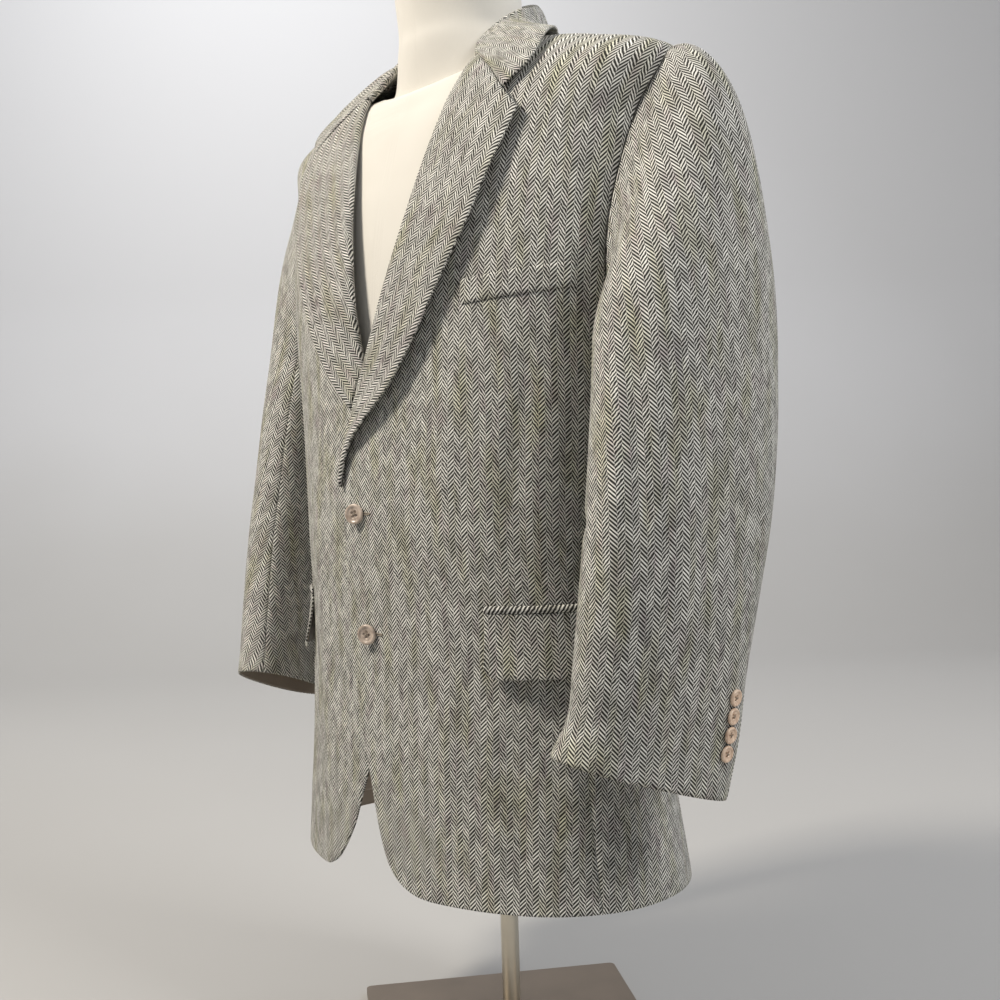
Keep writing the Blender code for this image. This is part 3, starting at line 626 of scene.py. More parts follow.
def merge(target: bpy.types.Object, mesh: bpy.types.Mesh) -> None:
    """Adds a mesh to an object's own mesh, keeping the materials of both.

    Args:
        target: the object that grows.
        mesh: what is added to it.
    """
    offset = len(target.data.materials)
    for material in mesh.materials:
        target.data.materials.append(material)
    both = bmesh.new()
    both.from_mesh(target.data)
    before = len(both.faces)
    both.from_mesh(mesh)
    both.faces.ensure_lookup_table()
    for face in both.faces[before:]:
        face.material_index += offset
    both.to_mesh(target.data)
    both.free()


def edge_dip(points: np.ndarray, sides: str, reach: float = 2.6, depth: float = 0.7) -> np.ndarray:
    """How far a grid's edges roll under: depth * (1 - smooth step of distance / reach).

    Args:
        points: grid, rows by columns.
        sides: which edges roll: "f" first column, "l" last, "b" bottom row, "t" top.
        reach: width of the roll in millimetres.
        depth: drop at the very edge.

    Returns:
        Millimetres inward for each point.
    """
    dip = np.zeros(points.shape[:2])
    for axis, (first, last) in ((1, "fl"), (0, "bt")):
        run = run_along(points, axis)
        for edge, distance in ((first, run), (last, run.take([-1], axis) - run)):
            if edge in sides:
                dip = np.maximum(dip, 1 - ease(distance / reach))
    return depth * dip


# ---------------- finishes


def linear(colour: str) -> tuple[float, float, float, float]:
    """An sRGB hex colour as linear red, green, blue and 1."""
    parts = [int(colour[i:i + 2], 16) / 255 for i in (1, 3, 5)]
    return (*(c / 12.92 if c <= 0.04045 else ((c + 0.055) / 1.055) ** 2.4 for c in parts), 1.0)


# what can go into a socket: a constant, or the socket or node that feeds it
Feed = Union[float, Sequence[float], bpy.types.NodeSocket, bpy.types.Node]


class NodeTree:
    """A material's nodes, with its shader at hand."""

    def __init__(self, name: str) -> None:
        """Starts a material.

        Args:
            name: the material's name.
        """
        self.material = bpy.data.materials.new(name)
        self.material.use_nodes = True
        self.tree = self.material.node_tree
        self.shader = self.tree.nodes["Principled BSDF"]

    def add(self, kind: str, settings: dict | None = None, **links: Feed) -> bpy.types.Node:
        """Adds a node.

        Args:
            kind: Blender's node type.
            settings: the node's own properties.
            links: its inputs by name or, as i0, i1, by number.

        Returns:
            The node.
        """
        node = self.tree.nodes.new(kind)
        for key, value in (settings or {}).items():
            setattr(node, key, value)
        for key, value in links.items():
            numbered = key[0] == "i" and key[1:].isdigit()
            self.feed(node.inputs[int(key[1:]) if numbered else key.replace("_", " ")], value)
        return node

    def feed(self, socket: bpy.types.NodeSocket, value: Feed) -> None:
        """Gives a socket a constant, or links a node's first output or a socket to it.

        Args:
            socket: what is fed.
            value: what feeds it.
        """
        if isinstance(value, bpy.types.Node):
            value = value.outputs[0]
        if isinstance(value, bpy.types.NodeSocket):
            self.tree.links.new(value, socket)
        else:
            socket.default_value = value

    def math(self, operation: str, *values: Feed) -> bpy.types.NodeSocket:
        """Adds a Math node over constants or sockets and returns its output."""
        node = self.add("ShaderNodeMath", {"operation": operation},
                        **{f"i{i}": v for i, v in enumerate(values)})
        return node.outputs[0]

    def mix(self, factor: Feed, first: Feed, second: Feed,
            way: str = "MIX") -> bpy.types.NodeSocket:
        """Adds a colour mix and returns its output."""
        node = self.add("ShaderNodeMix", {"data_type": "RGBA", "blend_type": way},
                        i0=factor, i6=first, i7=second)
        return node.outputs[2]

    def noise(self, vector: Feed, scale: float, detail: float = 2.0) -> bpy.types.NodeSocket:
        """Adds a noise, scale cells to the metre, and returns its value."""
        return self.add("ShaderNodeTexNoise", None, Vector=vector, Scale=scale,
                        Detail=detail).outputs[0]

    def set(self, **inputs: Feed) -> None:
        """Sets the shader's inputs, by name with _ for a space."""
        for key, value in inputs.items():
            self.feed(self.shader.inputs[key.replace("_", " ")], value)


@dataclass(frozen=True)
class HerringboneTweed:
    """Woollen tweed, woven as a broken herringbone twill and lightly milled.

    Cream and charcoal yarns give short pale strokes on a dark ground, the wool is dyed in the
    fleece, so olive and heather shades run through it, and the raised nap scatters light softly
    and pales the grazing edges. The real cloth has columns 5 mm wide and strokes 3 mm apart;
    they are drawn a quarter coarser, so that each stroke shows.
    """

    pale: str = "#fbfaf3"
    dark: str = "#141311"
    olive: str = "#cdcb9c"
    heather: str = "#c6b4b9"
    column: float = 6.1  # widths in millimetres
    pitch: float = 3.85
    slant: float = 49.0  # degrees of a stroke from the level
    stray: float = 1.2  # how far the yarns stray
    pale_share: float = 0.42
    uneven: float = 0.12  # how much that share differs from stroke to stroke
    soft: float = 0.19  # half width of a stroke's blurred edge, on the same scale

    def make(self) -> bpy.types.Material:
        """Builds the material: a zigzag phase over the weave coordinates parts pale from dark.

        The phase is v / pitch + zigzag(u / column) * slope, half a stroke on in every other
        column, and a stroke is pale where the phase's triangle wave is low.

        Returns:
            The material.
        """
        t = NodeTree("tweed")
        uv = t.add("ShaderNodeUVMap", {"uv_map": "weave"})
        parts = t.add("ShaderNodeSeparateXYZ", None, Vector=uv)
        fuzz = t.noise(uv, 260.0, 1.0)
        wobble = t.math("MULTIPLY_ADD", fuzz, self.stray * MM, -self.stray * MM / 2)
        u = t.math("ADD", parts.outputs[0], wobble)
        v = t.math("ADD", parts.outputs[1], wobble)
        s = t.math("DIVIDE", u, self.column * MM)
        zig = t.math("PINGPONG", s, 1.0)
        parity = t.math("MODULO", t.math("ABSOLUTE", t.math("FLOOR", s)), 2.0)
        slope = self.column * math.tan(math.radians(self.slant)) / self.pitch
        rise = t.math("MULTIPLY_ADD", v, 1 / (self.pitch * MM), t.math("MULTIPLY", zig, slope))
        phase = t.math("MULTIPLY_ADD", parity, 0.5, rise)
        wave = t.math("PINGPONG", t.math("MULTIPLY", phase, 2.0), 1.0)
        cell = t.add("ShaderNodeCombineXYZ", None, X=t.math("FLOOR", s),
                     Y=t.math("FLOOR", phase))
        speck = t.add("ShaderNodeTexWhiteNoise", {"noise_dimensions": "2D"}, Vector=cell)
        edge = t.math("MULTIPLY_ADD", speck.outputs[0], self.uneven,
                      self.pale_share - self.uneven / 2)
        stroke = t.add("ShaderNodeMapRange", {"interpolation_type": "SMOOTHSTEP"}, Value=wave,
                       From_Min=t.math("SUBTRACT", edge, self.soft),
                       From_Max=t.math("ADD", edge, self.soft), To_Min=1.0, To_Max=0.0)
        stretch = t.add("ShaderNodeMapping", None, Vector=uv, Scale=(1.0, 0.22, 1.0))
        patch = t.noise(stretch, 62.0, 3.0)
        tint = t.noise(t.add("ShaderNodeMapping", None, Vector=uv, Location=(3.1, 1.7, 0.0),
                             Scale=(1.0, 0.3, 1.0)), 95.0, 3.0)
        olive = t.add("ShaderNodeMapRange", None, Value=patch, From_Min=0.48, From_Max=0.72,
                      To_Min=0.0, To_Max=0.55)
        heather = t.add("ShaderNodeMapRange", None, Value=tint, From_Min=0.52, From_Max=0.72,
                        To_Min=0.0, To_Max=0.5)
        yarn = t.mix(olive.outputs[0], linear(self.pale), linear(self.olive))
        yarn = t.mix(heather.outputs[0], yarn, linear(self.heather))
        shade = t.math("MULTIPLY_ADD", speck.outputs[0], 0.34, 0.62)
        lit = t.mix(1.0, yarn, t.add("ShaderNodeCombineXYZ", None, X=shade, Y=shade,
                                     Z=shade).outputs[0], "MULTIPLY")
        ground = t.mix(t.math("MULTIPLY", fuzz, 0.06), linear(self.dark), yarn)
        colour = t.mix(stroke.outputs[0], ground, lit)
        bump = t.add("ShaderNodeBump", None, Strength=0.1, Distance=0.0003,
                     Height=stroke.outputs[0])
        t.set(Base_Color=colour, Normal=bump, Roughness=0.92, Specular_IOR_Level=0.15,
              Sheen_Weight=0.05, Sheen_Roughness=0.4, Sheen_Tint=linear("#d6d6bd"))
        return t.material


@dataclass(frozen=True)
class SatinLining:
    """Viscose satin lining: a fine close weave, smooth along the thread, with a low sheen."""

    colour: str = "#afa294"
    deep: str = "#96897b"

    def make(self) -> bpy.types.Material:
        """Builds the material: faint threads 1 mm apart, coarser than real so that they show.

        Returns:
            The material.
        """
        t = NodeTree("lining")
        uv = t.add("ShaderNodeUVMap", {"uv_map": "weave"})
        warp = t.add("ShaderNodeTexWave", {"wave_type": "BANDS"}, Vector=uv, Scale=320.0,
                     Distortion=1.5, Detail=1.0)
        soft = t.noise(uv, 30.0)
        colour = t.mix(t.math("MULTIPLY_ADD", warp.outputs[1], 0.35, t.math("MULTIPLY", soft, 0.5)),
                       linear(self.deep), linear(self.colour))
        bump = t.add("ShaderNodeBump", None, Strength=0.2, Distance=0.0002,
                     Height=warp.outputs[1])
        t.set(Base_Color=colour, Normal=bump, Roughness=0.45, Sheen_Weight=0.15)
        return t.material


@dataclass(frozen=True)
class PolishedHorn:
    """Polished horn: mottled brown streaks in a hard, slightly glossy and translucent body."""

    name: str
    pale: str
    dark: str

    def make(self) -> bpy.types.Material:
        """Builds the material: streaks stretched one way over Object coordinates.

        Returns:
            The material.
        """
        t = NodeTree(self.name)
        place = t.add("ShaderNodeTexCoord").outputs["Object"]
        streak = t.noise(t.add("ShaderNodeMapping", None, Vector=place,
                               Rotation=(0.4, 0.3, 0.9), Scale=(1.0, 3.5, 1.0)), 130.0, 4.0)
        level = t.add("ShaderNodeMapRange", None, Value=streak, From_Min=0.32, From_Max=0.68)
        t.set(Base_Color=t.mix(level.outputs[0], linear(self.dark), linear(self.pale)),
              Roughness=t.math("MULTIPLY_ADD", streak, 0.15, 0.26), IOR=1.54, Coat_Weight=0.15)
        return t.material


@dataclass(frozen=True)
class CottonThread:
    """Twisted polyester-cotton buttonhole thread, matt with a fine diagonal twist."""

    colour: str = "#a59a8b"
    shade: str = "#665d52"

    def make(self) -> bpy.types.Material:
        """Builds the material: slanting bands 0.9 mm apart, coarser than real as well.

        Returns:
            The material.
        """
        t = NodeTree("buttonhole_thread")
        place = t.add("ShaderNodeTexCoord").outputs["Object"]
        band = t.add("ShaderNodeTexWave", {"wave_type": "BANDS", "bands_direction": "DIAGONAL"},
                     Vector=place, Scale=420.0, Distortion=0.6)
        colour = t.mix(band.outputs[1], linear(self.shade), linear(self.colour))
        t.set(Base_Color=colour, Roughness=0.8, Sheen_Weight=0.2)
        return t.material


@dataclass(frozen=True)
class JerseyCover:
    """Cotton jersey stretched over the form: matt off-white with fine knitted wales."""

    pale: str = "#e6e3dc"
    shade: str = "#d2cec5"
    wale: float = 1.2
    course: float = 1.0

    def make(self) -> bpy.types.Material:
        """Builds the material: wales crossed by courses over the form's own UV map.

        Returns:
            The material.
        """
        t = NodeTree("form_cover")
        uv = t.add("ShaderNodeUVMap", {"uv_map": "weave"})
        parts = t.add("ShaderNodeSeparateXYZ", None, Vector=uv)
        wale = t.math("PINGPONG", t.math("DIVIDE", parts.outputs[0], self.wale / 2 * MM), 1.0)
        row = t.math("PINGPONG", t.math("DIVIDE", parts.outputs[1], self.course / 2 * MM), 1.0)
        knit = t.math("MULTIPLY", wale, t.math("MULTIPLY_ADD", row, 0.5, 0.5))
        soft = t.noise(uv, 14.0)
        colour = t.mix(t.math("MULTIPLY_ADD", knit, 0.4, t.math("MULTIPLY", soft, 0.6)),
                       linear(self.shade), linear(self.pale))
        bump = t.add("ShaderNodeBump", None, Strength=0.25, Distance=0.0002, Height=knit)
        t.set(Base_Color=colour, Normal=bump, Roughness=0.88, Sheen_Weight=0.15)
        return t.material


@dataclass(frozen=True)
class BrushedSteel:
    """Stainless steel brushed round the pole, dulled a little by handling."""

    name: str = "steel"
    colour: str = "#e6e0d2"
    roughness: float = 0.34
    dull: str = "#c6bfb0"

    def make(self) -> bpy.types.Material:
        """Builds the material: fine rings of brush marks along z over Object coordinates.

        Returns:
            The material.
        """
        t = NodeTree(self.name)
        place = t.add("ShaderNodeTexCoord").outputs["Object"]
        marks = t.noise(t.add("ShaderNodeMapping", None, Vector=place, Scale=(6.0, 6.0, 1.0)),
                        600.0, 3.0)
        smear = t.noise(place, 18.0, 2.0)
        rough = t.math("MULTIPLY_ADD", marks, 0.12, self.roughness - 0.06)
        bump = t.add("ShaderNodeBump", None, Strength=0.15, Distance=0.0001, Height=marks)
        t.set(Base_Color=t.mix(smear, linear(self.dull), linear(self.colour)), Metallic=1.0,
              Roughness=rough, Normal=bump)
        return t.material


@dataclass(frozen=True)
class PlainPaint:
    """Matt emulsion on the studio's floor and wall, the floor painted darker as painted shade."""

    wall: str = "#cfd0d3"
    # painted shade: the floor is given a darker colour than the wall
    floor: str = "#aeadab"

    def make(self) -> bpy.types.Material:
        """Builds the material: painted shade on the floor, blending up into the wall over the first
        metre, with a slow drift.

        Returns:
            The material.
        """
        t = NodeTree("studio_paint")
        place = t.add("ShaderNodeTexCoord").outputs["Object"]
        up = t.add("ShaderNodeSeparateXYZ", None, Vector=place).outputs[2]
        drift = t.math("MULTIPLY_ADD", t.noise(place, 1.2), 0.3, -0.15)
        share = t.add("ShaderNodeMapRange", {"interpolation_type": "SMOOTHSTEP"},
                      Value=t.math("ADD", up, drift), From_Min=-0.1, From_Max=1.1)
        # painted shade: darker towards the floor, lighter up the wall
        colour = t.mix(share.outputs[0], linear(self.floor), linear(self.wall))
        t.set(Base_Color=colour, Roughness=0.9)
        return t.material


@dataclass(frozen=True)
class Finishes:
    """All the finishes of the object, each made once."""

    tweed: bpy.types.Material
    lining: bpy.types.Material
    front_horn: bpy.types.Material
    cuff_horn: bpy.types.Material
    thread: bpy.types.Material
    cover: bpy.types.Material
    steel: bpy.types.Material

    @classmethod
    def mixed(cls) -> "Finishes":
        """Makes each finish."""
        return cls(HerringboneTweed().make(), SatinLining().make(),
                   PolishedHorn("horn", "#cfbfb0", "#9c8c7f").make(),
                   PolishedHorn("horn_amber", "#f0d8c0", "#c2a28a").make(),
                   CottonThread().make(), JerseyCover().make(), BrushedSteel().make())


# ---------------- sub-assemblies

# Rows near the hem are close together, so that the cutaway corner is round
LOW_ROWS = np.concatenate([[0, 0.004, 0.01, 0.02, 0.032, 0.046, 0.064, 0.085, 0.11, 0.14, 0.175,
                            0.215, 0.26, 0.31, 0.37, 0.43, 0.5, 0.58, 0.66, 0.74, 0.82, 0.91],
                           np.arange(1.0, 5.06, 0.09), [SEAM_RING]])
HIGH_ROWS = np.arange(SEAM_RING + 0.07, NECK_RING + 0.001, 0.07)


def arc_degrees(first: float, last: float, rings: np.ndarray) -> np.ndarray:
    """Reads the armhole's edge at rings, between two rows of its table.

    Args:
        first: the row to start from.
        last: the row to end at.
        rings: ring numbers.

    Returns:
        Degrees.
    """
    arc = smooth_rows(ARMHOLE + (ARMHOLE[0],), np.linspace(first, last, 160))
    order = np.argsort(arc[:, 1])
    return np.interp(rings, arc[order, 1], arc[order, 0])


def no_rise(degrees: np.ndarray, ring: np.ndarray) -> np.ndarray:
    """No change of height over the body."""
    return np.zeros_like(degrees)


def underlap_rise(degrees: np.ndarray, ring: np.ndarray) -> np.ndarray:
    """The right front dips behind the left one from the hem to well above the buttons.

    Args:
        degrees: round from the centre front.
        ring: ring number.

    Returns:
        Millimetres outward, below 0.
    """
    air, reach, top = 1.0, 90, 565  # the dip ends at reach from the middle, and at top
    place = BodySurface.skin(degrees, ring)
    across = ease((reach - place[..., 0]) / 50)
    return -(CLOTH + air) * across * ease((top - place[..., 2]) / 60)


@dataclass(frozen=True)
class PanelCut:
    """What a piece of cloth is cut to, in metres and square metres."""

    wide: float
    long: float
    area: float


@dataclass
class Body:
    """The fronts, sides and backs, sewn down their seams and open at the side vents."""

    surface: BodySurface
    finishes: Finishes
    front_columns: int = 60
    back_columns: int = 48
    side_columns: int = 22
    seam: float = 0.25  # gap at a seam, closer than the solids' own
    vent_air: float = 1.2  # air between the back and the side's underlap

    def seam_degrees(self, degrees: np.ndarray, ring: np.ndarray) -> np.ndarray:
        """Half of a seam's gap, in degrees round the body."""
        run = np.linalg.norm(self.surface.skin(degrees + 0.5, ring)
                             - self.surface.skin(degrees - 0.5, ring), axis=-1)
        return 0.5 * self.seam / run

    def edge_rings(self, edge: Sequence) -> tuple[np.ndarray, np.ndarray]:
        """A front edge, smooth between its table's rows, with the neckline above it.

        Args:
            edge: distances from the middle and heights.

        Returns:
            Rings, rising, and the degrees at each.
        """
        x, height = even_curve(edge, 240).T
        degrees, ring = self.surface.front_place(x, height)
        line = np.array(NECKLINE, float)
        ring = np.maximum.accumulate(np.append(ring, line[:, 1]))
        return ring, np.append(degrees, line[:, 0])

    def panel(self, name: str, side: Side, rings: np.ndarray, first: np.ndarray,
              last: np.ndarray, columns: int, rise: Callable, half: Weave,
              rolled: str) -> Cloth:
        """Lays a panel on the body between two edges, a row of points for each ring.

        Args:
            name: the piece's name.
            side: the wearer's side.
            rings: each row's ring.
            first: degrees of each row's first edge.
            last: degrees of its last edge.
            columns: points in a row, closer together at both edges.
            rise: how far it stands off the body.
            half: which half carries its grainline.
            rolled: edges that roll under, as edge_dip takes them.

        Returns:
            The panel.
        """
        spread = cosine_spread(columns)[None, :]
        degrees = first[:, None] + (last - first)[:, None] * spread
        ring = np.repeat(rings[:, None], columns, axis=1)
        bare = self.surface.skin(degrees, ring)
        out = rise(degrees, ring) - CLOTH / 2 - edge_dip(bare, rolled)
        points = self.surface.on(degrees, ring, out, side)
        return Cloth(name, points, self.surface.weave(degrees, ring, half), side)

    def front(self, name: str, side: Side, edge: Sequence, rise: Callable) -> Cloth:
        """The forepart: cutaway front edge to the side seam, armhole and shoulder seam.

        Args:
            name: the piece's name.
            side: the wearer's side.
            edge: table of its front edge.
            rise: how far it dips.

        Returns:
            The panel.
        """
        rings = np.concatenate([LOW_ROWS, HIGH_ROWS])
        edge_ring, edge_degrees = self.edge_rings(edge)
        first = np.interp(rings, edge_ring, edge_degrees)
        seam = np.interp(rings, *np.array(FRONT_SEAM, float).T)
        armhole = arc_degrees(0, ARMHOLE_FRONT, rings)
        last = np.where(rings <= SEAM_RING, seam, np.where(rings < SHOULDER_RING, armhole, 90.0))
        last = last - self.seam_degrees(last, rings)
        return self.panel(name, side, rings, first, last, self.front_columns, rise, Weave.FORE,
                          "flb")

    def back(self, name: str, side: Side) -> Cloth:
        """The back: side seam, armhole and shoulder seam to the centre back seam.

        Args:
            name: the piece's name.
            side: the wearer's side.

        Returns:
            The panel.
        """
        rings = np.concatenate([LOW_ROWS, HIGH_ROWS])
        seam = np.interp(rings, *np.array(BACK_SEAM, float).T)
        armhole = arc_degrees(ARMHOLE_BACK, len(ARMHOLE), rings)
        first = np.where(rings <= SEAM_RING, seam, np.where(rings < SHOULDER_RING, armhole, 90.0))
        first = first + self.seam_degrees(first, rings)
        last = 180.0 - self.seam_degrees(np.full_like(rings, 180.0), rings)
        return self.panel(name, side, rings, first, last, self.back_columns, no_rise, Weave.AFT,
                          "flb")

    def side_body(self, name: str, side: Side) -> Cloth:
        """The side body, whose back edge runs on behind the back panel below the vent's top.

        Args:
            name: the piece's name.
            side: the wearer's side.

        Returns:
            The panel.
        """
        low = LOW_ROWS
        front = np.interp(low, *np.array(FRONT_SEAM, float).T)
        back = np.interp(low, *np.array(BACK_SEAM, float).T)
        front = front + self.seam_degrees(front, low)
        edge = back - self.seam_degrees(back, low)
        arc = smooth_rows(ARMHOLE, np.linspace(ARMHOLE_FRONT, ARMHOLE_BACK, self.side_columns))
        share = (arc[:, 0] - arc[0, 0]) / np.ptp(arc[:, 0])
        degrees = front[:, None] + (edge - front)[:, None] * share[None, :]
        lap = np.linspace(0, 1, 7)[1:]
        vent = 1 - ease((low - VENT_RING) / 0.06)
        run_on = edge[:, None] + vent[:, None] * UNDERLAP * lap[None, :] + 0.01 * lap[None, :]
        degrees = np.hstack([degrees, run_on])
        top = np.concatenate([arc[:, 1], np.full(len(lap), arc[-1, 1])])
        ring = low[:, None] * top[None, :] / SEAM_RING
        dip = ease((degrees - back[:, None] + 6) / 5) * ease((VENT_RING + 0.5 - ring) / 0.4)
        bare = self.surface.skin(degrees, ring)
        out = -(CLOTH + self.vent_air) * dip - CLOTH / 2 - edge_dip(bare, "fb")
        points = self.surface.on(degrees, ring, out, side)
        return Cloth(name, points, self.surface.weave(degrees, ring, Weave.FORE) + 2.0, side)

    def build(self) -> None:
        """Builds the six panels; what each is cut to is listed beside it and not used."""
        f = self.finishes
        plan = (
            (self.front("forepart_left", Side.LEFT, LEFT_EDGE, no_rise), "front_left",
             PanelCut(0.34, 0.84, 0.196), ("form_torso", "front_right")),
            (self.front("forepart_right", Side.RIGHT, RIGHT_EDGE, underlap_rise), "front_right",
             PanelCut(0.31, 0.84, 0.182), ("form_torso",)),
            *((self.side_body(f"side_body_{side.word}", side), f"side_{side.word}",
               PanelCut(0.24, 0.56, 0.081), ("form_torso",)) for side in Side),
            *((self.back(f"back_panel_{side.word}", side), f"back_{side.word}",
               PanelCut(0.24, 0.86, 0.19), ("form_torso",)) for side in Side),
        )
        for cloth, node, cut, rests in plan:
            faced = node.startswith("front")
            piece = cloth.build([f.tweed, f.tweed if faced else f.lining])
            thicken(piece, CLOTH, lined=not faced)
            report(piece, node)


@dataclass
class Sleeves:
    """Two-piece sleeves, set into the armholes and hanging with a slight bend at the elbow."""

    surface: BodySurface
    finishes: Finishes
    squareness: float = 2.3
    # counted as ARMHOLE_POINTS
    front_seam: float = 9.5
    back_seam: float = 20.5
    under_grain: float = 14.0
    seam: float = 0.3
    inset: float = 1.1  # how far inside the armhole's edge the sleeve starts
    raised: float = 0.8  # and how far above the body
    # each sleeve's rings below the underarm, and the degrees that it turns below the armhole
    pair: tuple = ((Side.LEFT, LEFT_SLEEVE, 0.0), (Side.RIGHT, RIGHT_SLEEVE, -16.0))
    top_columns: int = 84
    under_columns: int = 46
    head_rows: int = 44
    arm_rows: int = 76
    straight_rows: int = 9  # rows next to the armhole whose weave is carried on
    per_degree: float = 1.25  # millimetres in a degree, for the creases
    tilt: tuple[float, float, float] = (-0.16, 0.0, 0.98)
    creases: dict[Side, tuple[Crease, ...]] = field(default_factory=dict)

    def armhole(self, at: np.ndarray) -> np.ndarray:
        """Reads the armhole's edge at points numbered from the shoulder.

        Args:
            at: point numbers.

        Returns:
            Degrees and rings.
        """
        table = np.array(ARMHOLE + ARMHOLE[:1] + ARMHOLE[1:2], float)
        row = np.interp(at % ARMHOLE_POINTS, [0, 10, 16, ARMHOLE_POINTS],
                        [0, ARMHOLE_FRONT, ARMHOLE_BACK, len(ARMHOLE)])
        return smooth_rows(table, row)

    def ovals(self, table: Sequence, turn: np.ndarray) -> np.ndarray:
        """Rings of the lower sleeve: middle + wide|cos|^(2/n) + thick|sin|^(2/n).

        Args:
            table: middle, half sizes and turn of each ring.
            turn: degrees round, 0 at the back edge and 90 outward.

        Returns:
            Points, rings by turns.
        """
        table = np.asarray(table, float)
        middle = table[:, :3]
        axis = unit(np.gradient(middle, axis=0))
        heading = np.radians(table[:, 5])
        wide = np.stack([np.sin(heading), np.cos(heading), 0 * heading], 1)
        wide = unit(wide - axis * (wide * axis).sum(1, keepdims=True))
        thick = np.cross(wide, axis)
        thick = thick * np.sign(thick[:, :1])
        power = 2.0 / self.squareness
        c, s = np.cos(np.radians(turn)), np.sin(np.radians(turn))
        c, s = np.sign(c) * np.abs(c)**power, np.sign(s) * np.abs(s)**power
        return (middle[:, None] + table[:, 3, None, None] * c[None, :, None] * wide[:, None]
                + table[:, 4, None, None] * s[None, :, None] * thick[:, None])

    def tube(self, table: Sequence, twist: float, at: np.ndarray) -> np.ndarray:
        """The sleeve from the cuff up to the armhole: Hermite curves into the lower rings.

        Args:
            table: rings below the underarm.
            twist: degrees that the sleeve turns below the armhole.
            at: points round the armhole, one for each column.

        Returns:
            Points, cuff row first, by columns.
        """
        ring_at = np.linspace(0, ARMHOLE_POINTS, 521)[:-1]
        place = self.armhole(ring_at)
        spot = self.surface.skin(place[:, 0], place[:, 1])
        normal = self.surface.normal(place[:, 0], place[:, 1])
        along = np.roll(spot, -1, axis=0) - np.roll(spot, 1, axis=0)
        inward = unit(np.cross(normal, along))
        inward = inward * np.sign((inward * (spot.mean(axis=0) - spot)).sum(1, keepdims=True))
        run = np.linalg.norm(np.diff(np.vstack([spot, spot[:1]]), axis=0), axis=1)
        share = np.concatenate([[0], np.cumsum(run)]) / run.sum()
        whole = np.append(ring_at, ARMHOLE_POINTS)
        share = np.interp(at % ARMHOLE_POINTS, whole, share)
        turn = 90.0 + twist + 360.0 * (share + np.floor(at / ARMHOLE_POINTS))

        def pick(values: np.ndarray) -> np.ndarray:
            """Values round the armhole at the columns."""
            closed = np.vstack([values, values[:1]])
            return np.stack([np.interp(at % ARMHOLE_POINTS, whole, closed[:, c])
                             for c in range(closed.shape[1])], -1)

        spot, normal, inward = pick(spot), unit(pick(normal)), unit(pick(inward))
        start = spot + inward * self.inset + normal * self.raised
        rings = self.ovals(table, turn)
        low, high = 470.0, 758.0  # heights of the armhole's foot and of the shoulder
        up = ease((spot[:, 2] - low) / (high - low))[:, None]
        # the head leaves the armhole outward, furthest at the top and behind
        leave = unit(normal * np.array([0.22, 0.22, 0.07]) + np.array([0.75, 0, 0.0]))
        behind = ease((spot[:, 1:2] + 20) / 60)
        leave = leave * (40 + (145 + 70 * behind) * up)
        fall = unit(rings[1] - rings[0]) * (35 + 250 * up)
        t = (np.linspace(0, 1, self.head_rows + 1)[:-1] ** 1.25)[:, None, None]
        rise = 3 * t**2 - 2 * t**3
        head = ((1 - rise) * start + (t**3 - 2 * t**2 + t) * leave
                + rise * rings[0] + (t**3 - t**2) * fall)
        below = smooth_rows(rings.reshape(len(rings), -1),
                            np.linspace(0, len(rings) - 1, self.arm_rows))
        return np.concatenate([head, below.reshape(self.arm_rows, -1, 3)])[::-1]

    def half(self, name: str, side: Side, table: Sequence, twist: float, first: float,
             last: float, middle: float, columns: int) -> Cloth:
        """One of a sleeve's two halves between its seams.

        Args:
            name: the piece's name.
            side: the wearer's side.
            table: rings of the lower sleeve.
            twist: degrees that the sleeve turns below the armhole.
            first: armhole point of its first edge.
            last: armhole point of its last edge.
            middle: armhole point of its grainline.
            columns: points round it.

        Returns:
            The piece, with its columns running so that its faces point outward.
        """
        at = first + (last - first) * cosine_spread(columns)
        points = self.tube(table, twist, at)
        normal = grid_normals(points)
        centre = points.mean(axis=1, keepdims=True)
        facing = np.sign((normal * (points - centre)).sum(-1).mean())
        normal = normal * facing
        turn = (at % ARMHOLE_POINTS) / ARMHOLE_POINTS * 360.0
        lift = creased(np.broadcast_to(turn[None, :], points.shape[:2]), points[..., 2],
                       self.creases.get(side, ()), self.per_degree)
        grain = int(np.argmin(np.abs(at - middle)))
        up = np.array([0.0, 0.0, 1.0])
        longer = np.concatenate([points[:1] - 80 * up, points, points[-1:] + 160 * up])
        hang = Hang.over(longer, grain, self.tilt)
        level = points @ np.array(self.tilt)
        weave = hang.read(np.broadcast_to(np.arange(columns)[None, :], level.shape), level)
        way = np.sign(points[0, grain + 1, 1] - points[0, grain - 1, 1])
        plumb = np.interp(level, longer[:, grain] @ np.array(self.tilt), longer[:, grain, 1])
        weave[..., 0] += way * plumb
        self.carry_on(weave, points, normal)
        inset = unit(points[:, 1] - points[:, 0]), unit(points[:, -2] - points[:, -1])
        points = points + normal * (lift - edge_dip(points, "flb"))[..., None]
        points[:, 0] += inset[0] * self.seam / 2
        points[:, -1] += inset[1] * self.seam / 2
        if facing < 0:
            points, weave = points[:, ::-1], weave[:, ::-1]
        return Cloth(name, points, weave, side)

